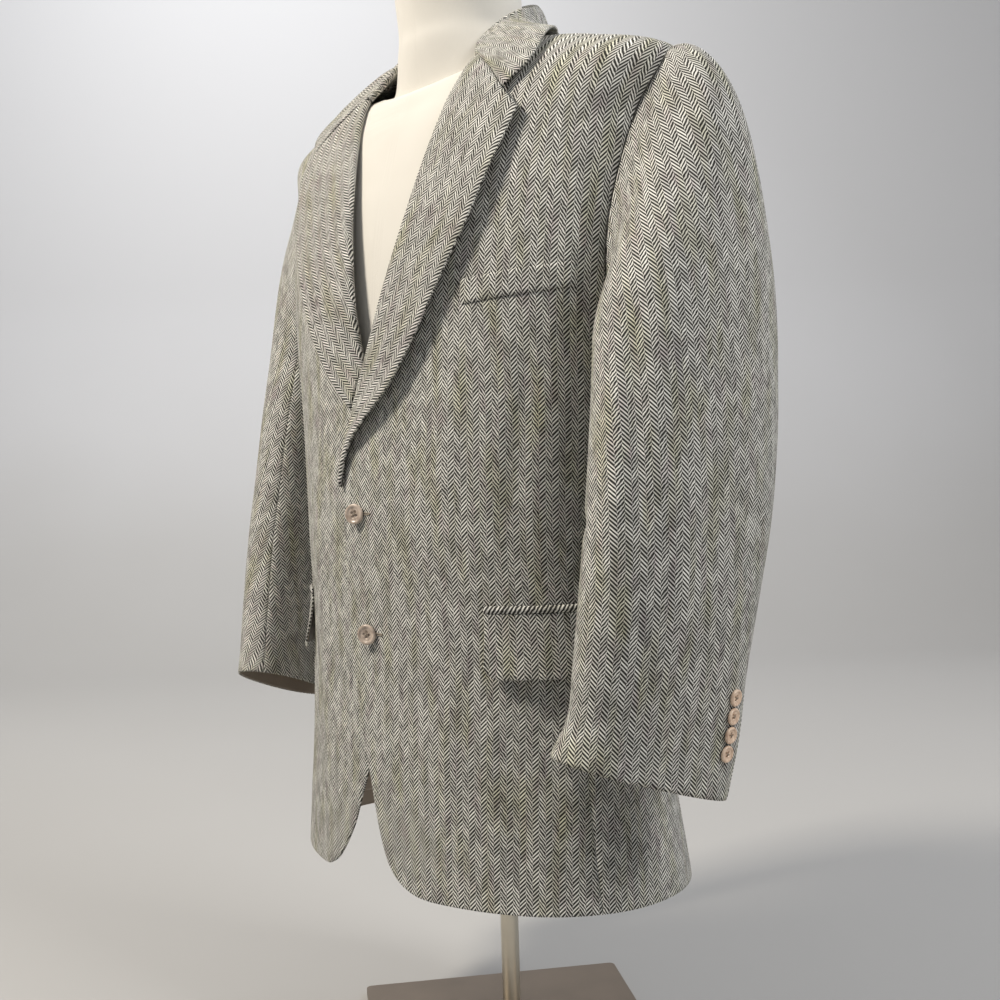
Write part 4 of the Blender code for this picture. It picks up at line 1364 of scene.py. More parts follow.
    def carry_on(self, weave: np.ndarray, points: np.ndarray, normal: np.ndarray) -> None:
        """Carries the weave on from a row of the head to the armhole, as flat cloth would run.

        Each later point adds its offset from that row, along the grain and across it.

        Args:
            weave: the weave's coordinates, changed in place.
            points: the grid, its last row on the armhole.
            normal: the grid's normals.
        """
        last = points.shape[0] - 1 - self.straight_rows
        grain = np.array([0.0, 0.0, 1.0]) - normal[last] * normal[last][:, 2:]
        grain = unit(grain)
        across = np.cross(grain, normal[last])
        step = np.gradient(points[last], axis=0)
        across = across * np.sign((np.gradient(weave[last, :, 0]) * (step * across).sum(1)).sum())
        offset = points[last:] - points[last]
        weave[last:, :, 0] = weave[last, :, 0] + (offset * across).sum(-1)
        weave[last:, :, 1] = weave[last, :, 1] + (offset * grain).sum(-1)

    def build(self) -> None:
        """Builds both sleeves; what each half is cut to is listed beside it and not used.

        The weave hangs plumb: widths are measured from the plane y = 0, not from the bent seam.
        """
        f = self.finishes
        for side, table, twist in self.pair:
            top = self.half(f"sleeve_top_{side.word}", side, table, twist, self.back_seam,
                            ARMHOLE_POINTS + self.front_seam, ARMHOLE_POINTS, self.top_columns)
            under = self.half(f"sleeve_under_{side.word}", side, table, twist, self.front_seam,
                              self.back_seam, self.under_grain, self.under_columns)
            for cloth, node, cut in ((top, "topsleeve", PanelCut(0.27, 0.67, 0.145)),
                                     (under, "undersleeve", PanelCut(0.22, 0.50, 0.097))):
                piece = cloth.build([f.tweed, f.lining])
                thicken(piece, CLOTH, lined=True)
                report(piece, f"{node}_{side.word}")


@dataclass
class Facings:
    """The lapels, folded back from the roll line, and the collar that meets them at the gorge."""

    surface: BodySurface
    body: Body
    finishes: Finishes
    # heights above the body: by the fold, in a lapel's middle, and how much more at its edge
    low: float = 3.6
    high: float = 5.6
    edge_lift: float = 7.5
    chord: float = 5.5  # how far the collar stands off the corner where the neck meets the back
    wall: float = 2.2
    hidden: float = 5.2  # how far past the left front's edge the right lapel begins
    rows: int = 96
    bend_steps: int = 9
    leaf_columns: int = 30
    last_ring: float = 9.46  # where the roll line ends
    in_front: float = 3.35  # rows of COLLAR over which its leaf straightens towards the notch

    def leaf_share(self, *near_edge: float) -> np.ndarray:
        """Fractions of the way across a leaf, with further ones that near its free edge."""
        return np.sort([*np.linspace(0, 1, self.leaf_columns + 1)[1:], *1 - np.array(near_edge)])

    def bend(self, fold: np.ndarray, normal: np.ndarray, out: np.ndarray, lead: float,
             low: np.ndarray, high: float) -> np.ndarray:
        """Half turn of a fold from the under layer at low to the upper layer at high.

        Args:
            fold: points along the fold line.
            normal: normals there.
            out: unit directions that lead out of the fold.
            lead: how far the turn's middle lies out from the line.
            low: height of the under layer.
            high: height of the upper layer.

        Returns:
            Points, rows by steps round the turn.
        """
        middle = fold + normal * (low + high) / 2 + out * lead
        radius = (high - low) / 2
        angle = np.radians(np.linspace(-90, 90, self.bend_steps))[None, :, None]
        return middle[:, None] + radius * (out[:, None] * np.cos(angle)
                                           + normal[:, None] * np.sin(angle))

    def lapel(self, name: str, side: Side, edge: Sequence, first_ring: float,
              free_edge: Sequence, rise: Callable) -> Cloth:
        """A lapel: rows up the roll line, columns round the roll and out to the free edge.

        Args:
            name: the piece's name.
            side: the wearer's side.
            edge: table of the front's edge, whose upper part is the roll line.
            first_ring: ring of the lowest row.
            free_edge: table of the edge from the break to the tip.
            rise: how far the front beneath dips.

        Returns:
            The lapel, its weave laid along its free edge.
        """
        surface = self.surface
        rings = np.linspace(first_ring, self.last_ring, self.rows)
        degrees = np.interp(rings, *self.body.edge_rings(edge))
        fold = surface.skin(degrees, rings)
        run = run_along(fold)
        outer = even_curve(free_edge, 400)
        outer = np.stack([np.interp(run / run[-1], np.linspace(0, 1, 400), outer[:, c])
                          for c in range(2)], -1)
        inner = fold[:, ::2].copy()
        inner[-1] = GORGE_TOP
        share = self.leaf_share(0.004, 0.012, 0.022)
        place = inner[:, None] + (outer - inner)[:, None] * share[None, :, None]
        over_degrees, over_ring = surface.front_place(place[..., 0], place[..., 1])
        up = np.linspace(0, 1, self.rows)[:, None]
        stand = (self.edge_lift * share[None, :]**2 * ease(up / 0.14)
                 * (1 - 0.5 * ease((up - 0.75) / 0.25)))
        swell = self.low + (self.high - self.low) * np.sin(math.pi * (0.15 + 0.7 * share))
        out = swell[None, :] + stand + rise(over_degrees, over_ring)
        over = surface.on(over_degrees, over_ring, out, side)
        normal = surface.normal(degrees, rings)
        line = surface.on(degrees, rings, rise(degrees, rings), side)
        lead = unit(line - over[:, 0])
        lead = unit(lead - normal * (lead * normal).sum(1, keepdims=True))
        turned = self.bend(line, normal, lead, SEAM_GAP + 1.0, -CLOTH / 2, self.low)
        start = (line - normal * CLOTH / 2 + lead * SEAM_GAP)[:, None]
        points = np.concatenate([start, turned, over], axis=1)
        free = points[:, -1]
        tangent = unit(np.gradient(free, axis=0))
        away = points - free[:, None]
        along = (away * tangent[:, None]).sum(-1)
        across = np.linalg.norm(away - tangent[:, None] * along[..., None], axis=-1)
        turn = points.shape[1] - over.shape[1]
        width = run_along(points, axis=1)
        across[:, :turn] = across[:, turn:turn + 1] + width[:, turn:turn + 1] - width[:, :turn]
        along[:, :turn] = along[:, turn:turn + 1]
        weave = np.stack([-across, run_along(free)[:, None] + along], -1)
        under = edge_dip(points, "ltb", reach=3.0, depth=0.9)
        points = points - surface.normal(degrees, rings)[:, None] * under[..., None]
        return Cloth(name, points, weave, side)

    def trim(self, cloth: Cloth) -> Cloth:
        """Ends the right lapel where it goes behind the left front, a row along the left's edge.

        Each column is read again from where it comes out past the left front's edge: row r of n
        becomes the place c + (n - c) r / n, where c is the crossing.

        Args:
            cloth: the whole lapel.

        Returns:
            The stretch of it that shows.
        """
        x, height = even_curve(LEFT_EDGE, 240).T
        hidden = self.hidden - np.interp(cloth.points[..., 2], height, x)
        clear = cloth.points[..., 0] - hidden
        rows, columns = clear.shape
        at = np.empty((rows, columns))
        for column in range(columns):
            under = np.flatnonzero(clear[:, column] < 0)
            start = 0.0
            if len(under):
                low = under[-1]
                start = low + clear[low, column] / (clear[low, column] - clear[low + 1, column])
            at[:, column] = np.linspace(start, rows - 1, rows)
        column = np.arange(columns)[None, :]
        return Cloth(cloth.name, blend(cloth.points, at, column),
                     blend(cloth.weave, at, column), cloth.side)

    def collar(self, name: str) -> Cloth:
        """The collar: stand inside the fold, leaf outside, from gorge to gorge round the neck.

        Args:
            name: the piece's name.

        Returns:
            The collar.
        """
        surface = self.surface
        at = np.concatenate([np.linspace(0, 2, 26), np.linspace(2, len(COLLAR) - 1, 60)[1:]])
        half = smooth_rows(COLLAR, at)
        line = np.array(((39.4, 9.50),) + NECKLINE + ((90.0, NECK_RING), (180.0, NECK_RING)),
                        float)
        foot = np.stack([half[:, 0], np.interp(half[:, 0], line[:, 0], line[:, 1]) + 0.03], -1)
        fold, edge = half[:, 1:3], half[:, 3:5]
        stand_share = np.linspace(0, 1, 7)[:-1]
        stand = foot[:, None] + (fold - foot)[:, None] * stand_share[None, :, None]
        under = surface.on(stand[..., 0], stand[..., 1], np.full(stand.shape[:2], -CLOTH / 2))
        share = self.leaf_share(0.006, 0.016)
        leaf = fold[:, None] + (edge - fold)[:, None] * share[None, :, None]
        degrees, ring = leaf[..., 0].copy(), leaf[..., 1].copy()
        near = at < self.in_front
        top = surface.skin(*fold[near].T)[:, ::2]
        free = surface.skin(*edge[near].T)[:, ::2]
        along = unit(np.array(NOTCH) - np.array(GORGE_TOP))
        above = np.array([-along[1], along[0]]) * SEAM_GAP
        top[0] = np.array(GORGE_TOP) + above
        free[0] = np.array(NOTCH) + above
        straight = top[:, None] + (free - top)[:, None] * share[None, :, None]
        front_degrees, front_ring = surface.front_place(straight[..., 0], straight[..., 1])
        mix = ease(at[near] / self.in_front)[:, None]
        degrees[near] = front_degrees + (degrees[near] - front_degrees) * mix
        ring[near] = front_ring + (ring[near] - front_ring) * mix
        swell = self.low + 2.4 * np.sin(math.pi * share) + 3.4 * share**2
        chord = self.chord * ease((half[:, 0:1] - 54) / 14) * np.sin(math.pi * share**0.85)
        over = surface.on(degrees, ring, swell[None, :] + chord)
        place = surface.skin(fold[:, 0], fold[:, 1])
        normal = surface.normal(fold[:, 0], fold[:, 1])
        out = unit(place - surface.skin(foot[:, 0], foot[:, 1]))
        out = unit(out - normal * (out * normal).sum(1, keepdims=True))
        turned = self.bend(place, normal, out, 0.0, -CLOTH / 2, self.low)
        left = np.concatenate([under, turned, over], axis=1)
        points = np.concatenate([left, left[:-1][::-1] * np.array([-1, 1, 1])], axis=0)
        dip = edge_dip(points, "ltb", reach=3.0, depth=0.8)
        row_normal = np.concatenate([normal, normal[:-1][::-1] * np.array([-1, 1, 1])])
        length = run_along(points[:, -1])
        length = length - length[len(left) - 1]
        width = run_along(points, axis=1)
        weave = np.stack([np.repeat(length[:, None], width.shape[1], axis=1),
                          width - width[:, -1:]], -1)
        return Cloth(name, points - row_normal[:, None] * dip[..., None], weave)

    def build(self) -> None:
        """Builds the lapels and the collar."""
        f = self.finishes
        left = self.lapel("lapel_face_left", Side.LEFT, LEFT_EDGE, 3.3, LEFT_LAPEL_EDGE, no_rise)
        right = self.trim(self.lapel("lapel_face_right", Side.RIGHT, RIGHT_EDGE, 3.9,
                                     RIGHT_LAPEL_EDGE, underlap_rise))
        for cloth, node, cut in ((left, "lapel_left", PanelCut(0.12, 0.42, 0.030)),
                                 (right, "lapel_right", PanelCut(0.12, 0.36, 0.027)),
                                 (self.collar("collar_band"), "collar",
                                  PanelCut(0.12, 0.50, 0.044))):
            piece = cloth.build([f.tweed])
            thicken(piece, self.wall, lined=False)
            report(piece, node)


@dataclass
class Pockets:
    """Straight flap pockets with a jet above each flap, and the breast pocket's welt."""

    surface: BodySurface
    finishes: Finishes
    top: float = 278.0
    start: float = 37.0
    length: float = 155.0
    jet_depth: float = 6.5
    flap_depth: float = 58.0
    flare: float = 8.0
    corner: float = 13.0
    jet_wall: float = 1.2
    welt_wall: float = 1.4

    def round_the_hip(self, count: int) -> tuple[np.ndarray, np.ndarray]:
        """Spreads columns over the pocket's length round the hip.

        Args:
            count: how many columns.

        Returns:
            Their degrees, and their distances from the pocket's front end.
        """
        degrees = np.linspace(self.start, self.start + 90, 400)
        run = run_along(self.surface.skin(degrees, self.ring_at(self.top - 30.0)))
        along = self.length * cosine_spread(count)
        return np.interp(along, run, degrees), along

    @staticmethod
    def ring_at(height: np.ndarray) -> np.ndarray:
        """Ring number at a height below the chest, where the rings are level."""
        return np.interp(height, [row[0] for row in BODY_RINGS[:5]], np.arange(5))

    def flap(self, name: str, side: Side) -> Cloth:
        """A flap with rounded lower corners: each column runs down to bottom(along).

        Args:
            name: the piece's name.
            side: the wearer's side.

        Returns:
            The flap.
        """
        degrees, along = self.round_the_hip(72)
        inset = np.clip(self.corner - np.minimum(along, self.length - along), 0, self.corner)
        top = self.top - self.jet_depth - SEAM_GAP
        bottom = top - self.flap_depth + self.corner - np.sqrt(self.corner**2 - inset**2)
        drop = cosine_spread(26)[:, None]
        height = top + (bottom - top)[None, :] * drop
        wave = 0.5 * np.sin(along / 23.0)[None, :] * drop
        flare = self.flare * (1 - 0.5 * ease(along / self.length))[None, :]
        out = CLEAR + CLOTH / 2 + flare * drop**1.5 + wave
        degrees = np.repeat(degrees[None, :], 26, axis=0)
        out = out - edge_dip(self.surface.skin(degrees, self.ring_at(height)), "flt", depth=0.5)
        points = self.surface.on(degrees, self.ring_at(height), out, side)[::-1]
        weave = np.stack([np.repeat(along[None, :], 26, axis=0) + 1.5, height], -1)[::-1]
        return Cloth(name, points, weave, side)

    def jet(self, name: str, side: Side) -> Cloth:
        """The jet, a rolled strip: its section bulges as the sine of the way across it.

        Args:
            name: the piece's name.
            side: the wearer's side.

        Returns:
            The jet.
        """
        degrees, along = self.round_the_hip(60)
        down = np.linspace(0, 1, 9)[:, None]
        height = self.top - self.jet_depth * down + np.zeros_like(along)[None, :]
        bulge = 2.2 * np.sin(math.pi * down)
        ends = ease(np.minimum(along, self.length - along) / 3.0)[None, :]
        out = 0.9 + bulge * (0.4 + 0.6 * ends)
        degrees = np.repeat(degrees[None, :], 9, axis=0)
        points = self.surface.on(degrees, self.ring_at(height), out, side)[::-1]
        weave = np.stack([0.4 + 4.8 * np.repeat(down, len(along), axis=1),
                          np.repeat(along[None, :], 9, axis=0)], -1)[::-1]
        return Cloth(name, points, weave, side)

    def welt(self, name: str) -> Cloth:
        """The breast pocket's welt, a slanted strip open along its upper edge.

        Args:
            name: the piece's name.

        Returns:
            The welt.
        """
        corners = np.array(WELT, float)
        across = cosine_spread(46)[None, :, None]
        up = cosine_spread(14)[:, None, None]
        lower = corners[0] + (corners[1] - corners[0]) * across
        upper = corners[3] + (corners[2] - corners[3]) * across
        place = lower + (upper - lower) * up
        degrees, ring = self.surface.front_place(place[..., 0], place[..., 1])
        bare = self.surface.skin(degrees, ring)
        out = CLEAR + CLOTH / 3 - edge_dip(bare, "flbt", reach=2.0, depth=0.9)
        points = self.surface.on(degrees, ring, out)
        return Cloth(name, points, self.surface.weave(degrees, ring, Weave.FORE))

    def build(self) -> None:
        """Builds the pair of flap pockets and the welt."""
        f = self.finishes
        for side in Side:
            word = side.word
            flap = self.flap(f"pocket_flap_{word}", side).build([f.tweed, f.lining])
            thicken(flap, CLOTH, lined=True)
            report(flap, f"hip_flap_{word}")
            jet = self.jet(f"pocket_jet_{word}", side).build([f.tweed])
            thicken(jet, self.jet_wall, lined=False)
            report(jet, f"hip_jet_{word}")
        welt = self.welt("breast_welt").build([f.tweed])
        thicken(welt, self.welt_wall, lined=False)
        report(welt, "chest_welt")


@dataclass
class SkirtLining:
    """The lining that shows below the cutaway, hanging inside the skirt with soft waves."""

    surface: BodySurface
    finishes: Finishes
    depth: float = 7.0
    wall: float = 1.0

    def build(self) -> None:
        """Builds the lining: a band round the back whose waves are a sum of two sines."""
        rings = np.linspace(0.17, 1.5, 40)[:, None]
        degrees = np.linspace(68, 292, 180)[None, :]
        degrees, rings = np.broadcast_arrays(degrees, rings)
        fall = 1 - ease(rings / 1.3)
        wave = 0.5 * np.sin(np.radians(degrees * 9)) + 0.35 * np.sin(np.radians(degrees * 14.3))
        out = -self.depth - 1.2 * fall * (0.85 + wave)
        points = self.surface.on(degrees, rings, out)
        weave = np.stack([run_along(points, axis=1), run_along(points, axis=0)], -1)
        piece = Cloth("lining_skirt", points, weave).build([self.finishes.lining])
        thicken(piece, self.wall, lined=False)
        report(piece, "skirt_lining")


@dataclass
class Buttons:
    """Four-hole horn buttons: two on the front and four that touch on each cuff."""

    surface: BodySurface
    sleeves: Sleeves
    finishes: Finishes
    front_size: float = 20.0
    cuff_size: float = 15.0
    cuff_rise: float = 41.0
    cuff_step: float = 16.4
    cuff_count: int = 4
    cuff_air: float = 0.3  # between a cuff button and the sleeve
    hole_length: float = 21.0
    shank: float = 3.8  # the thread under a front button
    turned: float = 0.40  # tangent of a front button's tilt towards its left
    around: int = 72
    front_places: tuple = ((-10.5, 361.0), (-1.5, 245.5))  # distance from the middle, height
    hole_shift: tuple[float, float] = (7.5, 0.5)  # a buttonhole's middle from its button's
    # ARMHOLE_POINTS whose columns lead to the cuff: three round the buttons' line, one opposite
    cuff_points: tuple[float, ...] = (21.3, 22.3, 23.3, 9.3)

    def face(self, size: float) -> np.ndarray:
        """A button about z: a profile turned round, with four pits where the holes are.

        The profile dips in the middle, rises to a rim and rounds over to the flat back. A pit is
        1.6 mm deep and eases out with the distance from its middle.

        Args:
            size: its diameter.

        Returns:
            Points, from the back over the rim to the middle of the face.
        """
        r = size / 2
        profile = np.array(((0.0, 2.3), (0.30 * r, 2.3), (0.56 * r, 2.4), (0.66 * r, 2.75),
                            (0.74 * r, 3.2), (0.84 * r, 3.35), (0.93 * r, 3.0), (0.99 * r, 2.2),
                            (0.985 * r, 1.2), (0.9 * r, 0.45), (0.78 * r, 0.05), (0.4 * r, 0.0)))
        inner = np.linspace(0, 1, 26)[1:]
        outer = np.linspace(1, len(profile) - 1, 44)[1:]
        rows = np.vstack([np.stack([profile[1, 0] * inner, np.full(len(inner), 2.3)], -1),
                          smooth_rows(profile, outer)])
        turn = np.linspace(0, 2 * math.pi, self.around, endpoint=False)
        x = rows[:, :1] * np.cos(turn)[None, :]
        y = rows[:, :1] * np.sin(turn)[None, :]
        z = np.repeat(rows[:, 1:], self.around, axis=1)
        hole, spread = 0.1 * r + 0.2, 0.175 * r
        for a, b in ((1, 1), (1, -1), (-1, 1), (-1, -1)):
            away = np.hypot(x - a * spread, y - b * spread)
            z = z - 1.6 * (1 - ease((away - hole * 0.7) / (hole * 0.6))) * (z > 2.0)
        return np.stack([x, y, z], -1)[::-1]

    def stitch(self, size: float) -> np.ndarray:
        """Cross of thread through the holes: two tubes about lines that arch as 1 - t^4.

        Args:
            size: the button's diameter.

        Returns:
            Points by tube, ring and turn.
        """
        r = size / 2
        spread = 0.165 * r
        turn = np.linspace(0, 2 * math.pi, 8, endpoint=False)
        t = np.linspace(-1, 1, 13)
        tubes = []
        for number, way in enumerate((1, -1)):
            line = np.stack([spread * t, way * spread * t,
                             2.35 + (0.55 + 0.35 * number) * (1 - t**4) - 0.8 * (t**4)], -1)
            side = np.array([-way, 1.0, 0.0]) / math.sqrt(2)
            tubes.append(line[:, None] + 0.33 * (
                np.cos(turn)[None, :, None] * side
                + np.sin(turn)[None, :, None] * np.array([0, 0, 1.0])))
        return np.stack(tubes)

    @staticmethod
    def wound(length: float) -> np.ndarray:
        """The thread neck under a button: a round column, waisted as the square of its height.

        Args:
            length: the neck's length.

        Returns:
            Points, rings by turns.
        """
        turn = np.linspace(0, 2 * math.pi, 14, endpoint=False)[None, :]
        down = np.linspace(-1, 1, 9)[:, None]
        radius = 1.1 + 0.5 * down**2
        return np.stack([radius * np.cos(turn), radius * np.sin(turn),
                         (down - 1) * length / 2 + 0.4 + 0 * turn], -1)

    def hole(self, name: str, middle: float, height: float) -> None:
        """Works a buttonhole: a tube of thread round a long narrow loop on the front's face.

        Args:
            name: the piece's name.
            middle: distance of the loop's middle from the centre front.
            height: its height above the hem.
        """
        turn = np.linspace(0, 2 * math.pi, 73)
        power = 0.45
        dx = self.hole_length / 2 * np.sign(np.cos(turn)) * np.abs(np.cos(turn))**power
        dz = 0.85 * np.sin(turn) * (1 + 0.5 * ease((dx + 2) / -8))
        degrees, ring = self.surface.front_place(middle + dx, height + dz)
        line = self.surface.on(degrees, ring, 0.35)
        normal = self.surface.normal(degrees, ring)
        along = unit(np.gradient(line, axis=0))
        along[0] = along[-1] = unit(along[0] + along[-1])
        side = unit(np.cross(normal, along))
        circle = np.linspace(0, 2 * math.pi, 8, endpoint=False)[None, :, None]
        tube = line[:, None] + 0.55 * (np.cos(circle) * side[:, None]
                                       + np.sin(circle) * normal[:, None])
        tube = tube[:-1]  # the last ring would repeat the first
        made = Cloth(name, tube, tube[..., ::2], looped=True,
                     ring=True).build([self.finishes.thread])
        report(made, None)

    def set_on(self, name: str, node: str, size: float, place: np.ndarray, facing: np.ndarray,
               side: Side, horn: bpy.types.Material, roll: float, neck: float = 0.0) -> None:
        """Sews a button on: turns it to its place and joins its thread to it.

        Args:
            name: the piece's name.
            node: the CAD node that it replaces.
            size: its diameter.
            place: where the middle of its back is.
            facing: the direction that its face looks in.
            side: the wearer's side.
            horn: its material.
            roll: degrees that its holes are turned.
            neck: length of the thread neck behind it, 0 for none.
        """
        facing = unit(facing)
        across = unit(np.cross(np.array([0, 0, 1.0]), facing))
        up = np.cross(facing, across)
        axes = np.stack([*spin(across, up, roll), facing])
        disc = self.face(size) @ axes + place
        button = Cloth(name, disc, disc[..., ::2], side, looped=True, capped=True).build([horn])
        for number, tube in enumerate([*self.stitch(size), *([self.wound(neck)] if neck else [])]):
            line = tube @ axes + place
            thread = Cloth(f"{name}_thread_{number}", line, line[..., :2], side, looped=True,
                           capped=True).build([self.finishes.thread])
            mesh = thread.data
            bpy.data.objects.remove(thread)
            merge(button, mesh)
        report(button, node)

    def build(self) -> None:
        """Builds the front buttons, then the four of each cuff."""
        f = self.finishes
        for number, (x, height) in enumerate(self.front_places, start=1):
            degrees, ring = self.surface.front_place(np.array(x), np.array(height))
            place = self.surface.on(degrees, ring, self.shank)
            facing = self.surface.normal(degrees, ring) + np.array([self.turned, 0, 0])
            self.set_on(f"button_front_{number}", f"front_button_{number}", self.front_size,
                        place, facing, Side.LEFT, f.front_horn, 20.0 * number,
                        neck=self.shank + 1.0)
            self.hole(f"buttonhole_{number}", x + self.hole_shift[0], height + self.hole_shift[1])
        for side, table, twist in self.sleeves.pair:
            tube = self.sleeves.tube(table, twist, np.array(self.cuff_points))
            line, run = tube[:, 1], run_along(tube[:, 1])
            normal = unit(np.cross(unit(tube[:, 2] - tube[:, 0]), unit(np.gradient(line, axis=0))))
            normal = normal * np.sign((normal * (line - tube[:, 3])).sum(1, keepdims=True))
            for number in range(self.cuff_count):
                at = self.cuff_rise + number * self.cuff_step
                place = np.array([np.interp(at, run, line[:, i]) for i in range(3)])
                facing = unit(np.array([np.interp(at, run, normal[:, i]) for i in range(3)]))
                label = f"{side.word}_{number + 1}"
                self.set_on(f"button_cuff_{label}", f"cuff_button_{label}", self.cuff_size,
                            place + facing * (CLOTH / 2 + self.cuff_air), facing, side,
                            f.cuff_horn, 12.0 + 31.0 * number)


@dataclass
class DressForm:
    """The limbless form: a smooth covered torso with a neck, on its steel pole and base."""

    surface: BodySurface
    finishes: Finishes
    columns: int = 160
    rows: int = 170

    def torso(self) -> np.ndarray:
        """Rings of the torso inside the jacket, then rings of the neck, joined smoothly.

        Returns:
            Points, rings by turns.
        """
        turn = np.linspace(0, 360, self.columns, endpoint=False)
        c, s = np.cos(np.radians(turn)), np.sin(np.radians(turn))
        rows = [self.surface.skin(turn, ring) - self.surface.normal(turn, ring)
                * (inset + 0.6 * ease(-3 * c))[:, None] for ring, inset in FORM_RINGS]
        rows[0][:, 2] = rows[0][:, 2].min()
        low, high = FORM_NECK[0][0], FORM_NECK[-1][0]
        for height, wide, deep, middle in FORM_NECK:
            tilt = 10 * (1 - (height - low) / (high - low))
            rows.append(np.stack([wide * s, middle - deep * c, height - tilt * c], 1))
        rows = np.stack(rows)
        at = np.linspace(0, len(rows) - 1, self.rows)
        return smooth_rows(rows.reshape(len(rows), -1), at).reshape(self.rows, -1, 3)

    def build(self) -> None:
        """Builds the covered torso and finishes the pole and base."""
        points = self.torso()
        weave = np.stack([run_along(points, axis=1), run_along(points, axis=0)], -1)
        torso = Cloth("covered_torso", points, weave, looped=True, capped=True)
        report(torso.build([self.finishes.cover]), "form_torso")
        base_steel = BrushedSteel("base_steel", "#8f8274", 0.45, "#7a6f63").make()
        for node, material in (("form_pole", self.finishes.steel), ("form_base", base_steel)):
            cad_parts[node].data.materials.clear()
            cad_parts[node].data.materials.append(material)
            LOG.info("%s: finished in %s", node, material.name)


# ---------------- studio


@dataclass
class Studio:
    """A pale floor that sweeps up into a wall, soft lights, and the camera."""

    azimuth: float = 46.7437  # degrees, as pitch, yaw and roll
    height: float = 0.6486  # metres
    distance: float = 1.3478
    pitch: float = 3.0426
    yaw: float = 0.8284
    roll: float = -1.7593
    focal: float = 1303.314  # of a frame 1000 wide

    def sweep(self) -> None:
        """The floor and wall: a profile with a quarter circle, carried across the view."""
        turn = math.radians(self.azimuth)
        away = np.array([-math.sin(turn), math.cos(turn), 0.0])
        right = np.array([math.cos(turn), math.sin(turn), 0.0])
        radius, reach = 1.2, 2.2
        bend = np.radians(np.linspace(0, 90, 40))
        out = np.concatenate([[-7.0, -2.0], reach + radius * np.sin(bend), [reach + radius]])
        up = np.concatenate([[0.0, 0.0], radius * (1 - np.cos(bend)), [6.0]])
        across = np.linspace(-12, 12, 9)
        points = (away * out[:, None, None] + np.array([0, 0, 1.0]) * up[:, None, None]
                  + right * across[None, :, None])
        rows, columns = points.shape[:2]
        corner = (np.arange(rows - 1)[:, None] * columns + np.arange(columns - 1)).reshape(-1, 1)
        quads = corner + np.array([0, 1, columns + 1, columns])
        mesh = bpy.data.meshes.new("studio_sweep")
        mesh.from_pydata(points.reshape(-1, 3).tolist(), [], quads.tolist())
        mesh.materials.append(PlainPaint().make())
        mesh.shade_smooth()
        floor = bpy.data.objects.new("studio_sweep", mesh)
        bpy.context.scene.collection.objects.link(floor)

    @staticmethod
    def lamp(name: str, place: tuple[float, float, float], target: tuple[float, float, float],
             size: float, power: float, colour: str) -> None:
        """Adds a square soft light aimed at a target.

        Args:
            name: the light's name.
            place: where it stands, in metres.
            target: what it is aimed at.
            size: its side.
            power: watts.
            colour: sRGB hex.
        """
        light = bpy.data.lights.new(name, "AREA")
        light.size = size
        light.energy = power
        light.color = linear(colour)[:3]
        lamp = bpy.data.objects.new(name, light)
        lamp.location = place
        lamp.rotation_euler = (Vector(target) - Vector(place)).to_track_quat("-Z", "Y").to_euler()
        lamp.visible_camera = False
        bpy.context.scene.collection.objects.link(lamp)

    def camera(self) -> None:
        """Sets the camera: azimuth, then yaw, pitch and roll turned one after another."""
        a = math.radians(self.azimuth)
        place = Vector((math.sin(a) * self.distance, -math.cos(a) * self.distance, self.height))
        ahead = Vector((-math.sin(a), math.cos(a), 0))
        right = Vector((math.cos(a), math.sin(a), 0))
        up = Vector((0, 0, 1))
        ahead, right = spin(ahead, right, self.yaw)
        up, ahead = spin(up, ahead, self.pitch)
        right, up = spin(right, up, self.roll)
        data = bpy.data.cameras.new("camera")
        data.sensor_width = 36.0
        data.lens = self.focal / 1000 * 36.0
        data.clip_start = 0.05
        camera = bpy.data.objects.new("camera", data)
        turned = Matrix((right, up, -ahead)).transposed().to_4x4()
        camera.matrix_world = Matrix.Translation(place) @ turned
        bpy.context.scene.collection.objects.link(camera)
        bpy.context.scene.camera = camera

    def build(self) -> None:
        """Builds the sweep, the lights, the world's fill and the camera."""
        self.sweep()
        target = (0.0, 0.0, 0.7)
        self.lamp("key", (-0.92, -1.8, 2.65), target, 0.5, 90.0, "#fff6e8")
        self.lamp("fill", (2.15, 0.3, 2.4), target, 1.0, 46.0, "#f8f6f2")
        self.lamp("back", (0.4, 2.2, 2.4), target, 1.4, 20.0, "#f4f6ff")
        self.lamp("wall", (-1.8, 0.6, 3.0), (-3.0, 2.0, 1.2), 1.5, 42.0, "#f6f6f6")
        world = bpy.data.worlds.new("studio_air")
        world.use_nodes = True
        world.node_tree.nodes["Background"].inputs[0].default_value = linear("#d5d9e0")
        world.node_tree.nodes["Background"].inputs[1].default_value = 0.34
        bpy.context.scene.world = world
        bpy.context.scene.view_settings.view_transform = "Standard"
        self.camera()


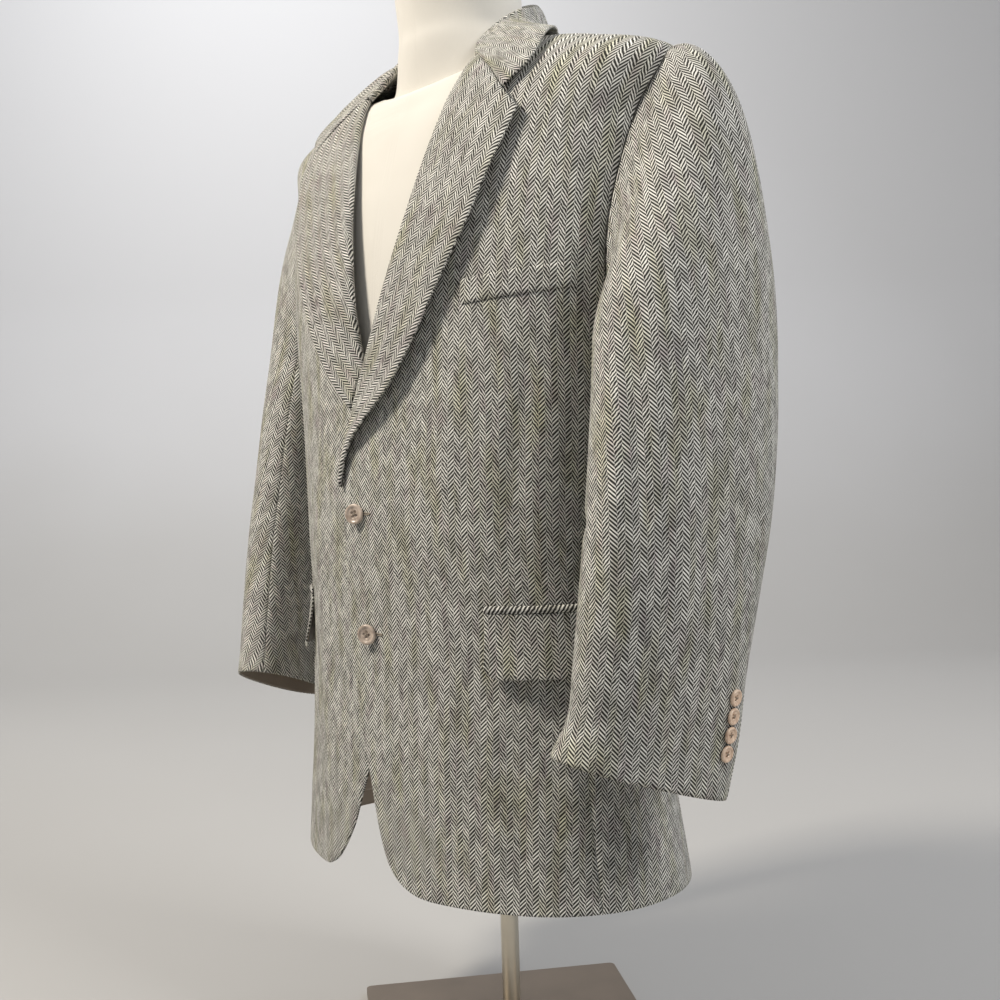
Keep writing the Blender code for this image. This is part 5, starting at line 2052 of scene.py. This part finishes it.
BODY_CREASES = (
    Crease((24, 335), (27, 530), 2.8, 17, 4),
    Crease((47, 290), (50, 560), -3.0, 16, -5),
    Crease((16, 357), (36, 362), -1.0, 6, 2),
    Crease((6, 372), (40, 340), 1.2, 9, 3),
    Crease((20, 40), (24, 235), 1.8, 16, 4),
    Crease((46, 15), (43, 190), -2.4, 15, -4),
    Crease((60, 30), (62, 250), 1.6, 14, 3),
    Crease((-22, 110), (-27, 430), 2.4, 15, -4),
    Crease((-46, 60), (-44, 330), -2.2, 15, 5),
    Crease((-14, 372), (-42, 345), -1.2, 8, -3),
    Crease((86, 300), (104, 352), -2.0, 9, 4),
    Crease((-84, 312), (-108, 350), -2.2, 9, -4),
    Crease((126, 330), (162, 362), -2.0, 10, 5),
    Crease((-122, 352), (-160, 330), -2.4, 10, -5),
    Crease((148, 390), (143, 600), 2.4, 18, 6),
    Crease((-150, 360), (-142, 590), -2.6, 17, -6),
    Crease((162, 420), (166, 640), -1.8, 15, 4),
    Crease((-168, 400), (-163, 620), 2.0, 16, -3),
    Crease((141, 20), (147, 250), 2.6, 17, 4),
    Crease((-136, 15), (-144, 215), 2.2, 15, -5),
    Crease((162, 30), (158, 200), -2.0, 14, 4),
    Crease((-160, 25), (-163, 240), -1.8, 15, -4),
)
# degrees round a sleeve from its outer middle towards its front, and height from the hem
LEFT_SLEEVE_CREASES = (
    Crease((46, 300), (80, 580), -3.6, 13, 5),
    Crease((74, 290), (94, 530), 2.6, 12, -4),
    Crease((20, 330), (52, 300), -1.6, 8, 3),
    Crease((14, 210), (30, 420), 1.8, 14, -4),
    Crease((352, 380), (300, 338), -2.6, 9, 4),
    Crease((345, 330), (298, 312), -2.2, 8, -3),
    Crease((100, 366), (142, 350), -2.4, 8, 3),
    Crease((225, 360), (262, 400), -2.0, 9, 4),
)
RIGHT_SLEEVE_CREASES = (
    Crease((70, 210), (58, 520), -3.2, 13, -6),
    Crease((34, 230), (26, 470), 2.4, 13, 4),
    Crease((88, 300), (48, 330), -2.0, 8, 3),
    Crease((350, 392), (302, 350), -2.8, 9, -4),
    Crease((340, 340), (296, 322), -2.0, 8, 3),
    Crease((104, 352), (148, 368), -2.4, 8, -3),
    Crease((222, 372), (266, 342), -2.2, 9, 4),
)


def main() -> None:
    """Builds the studio, then each sub-assembly."""
    logging.basicConfig(level=logging.INFO, format="%(name)s %(message)s")
    Studio().build()
    finishes = Finishes.mixed()
    surface = BodySurface(BODY_CREASES)
    DressForm(surface, finishes).build()
    body = Body(surface, finishes)
    body.build()
    sleeves = Sleeves(surface, finishes, creases={Side.LEFT: LEFT_SLEEVE_CREASES,
                                                  Side.RIGHT: RIGHT_SLEEVE_CREASES})
    sleeves.build()
    Facings(surface, body, finishes).build()
    Pockets(surface, finishes).build()
    SkirtLining(surface, finishes).build()
    Buttons(surface, sleeves, finishes).build()


if __name__ == "__main__":
    main()
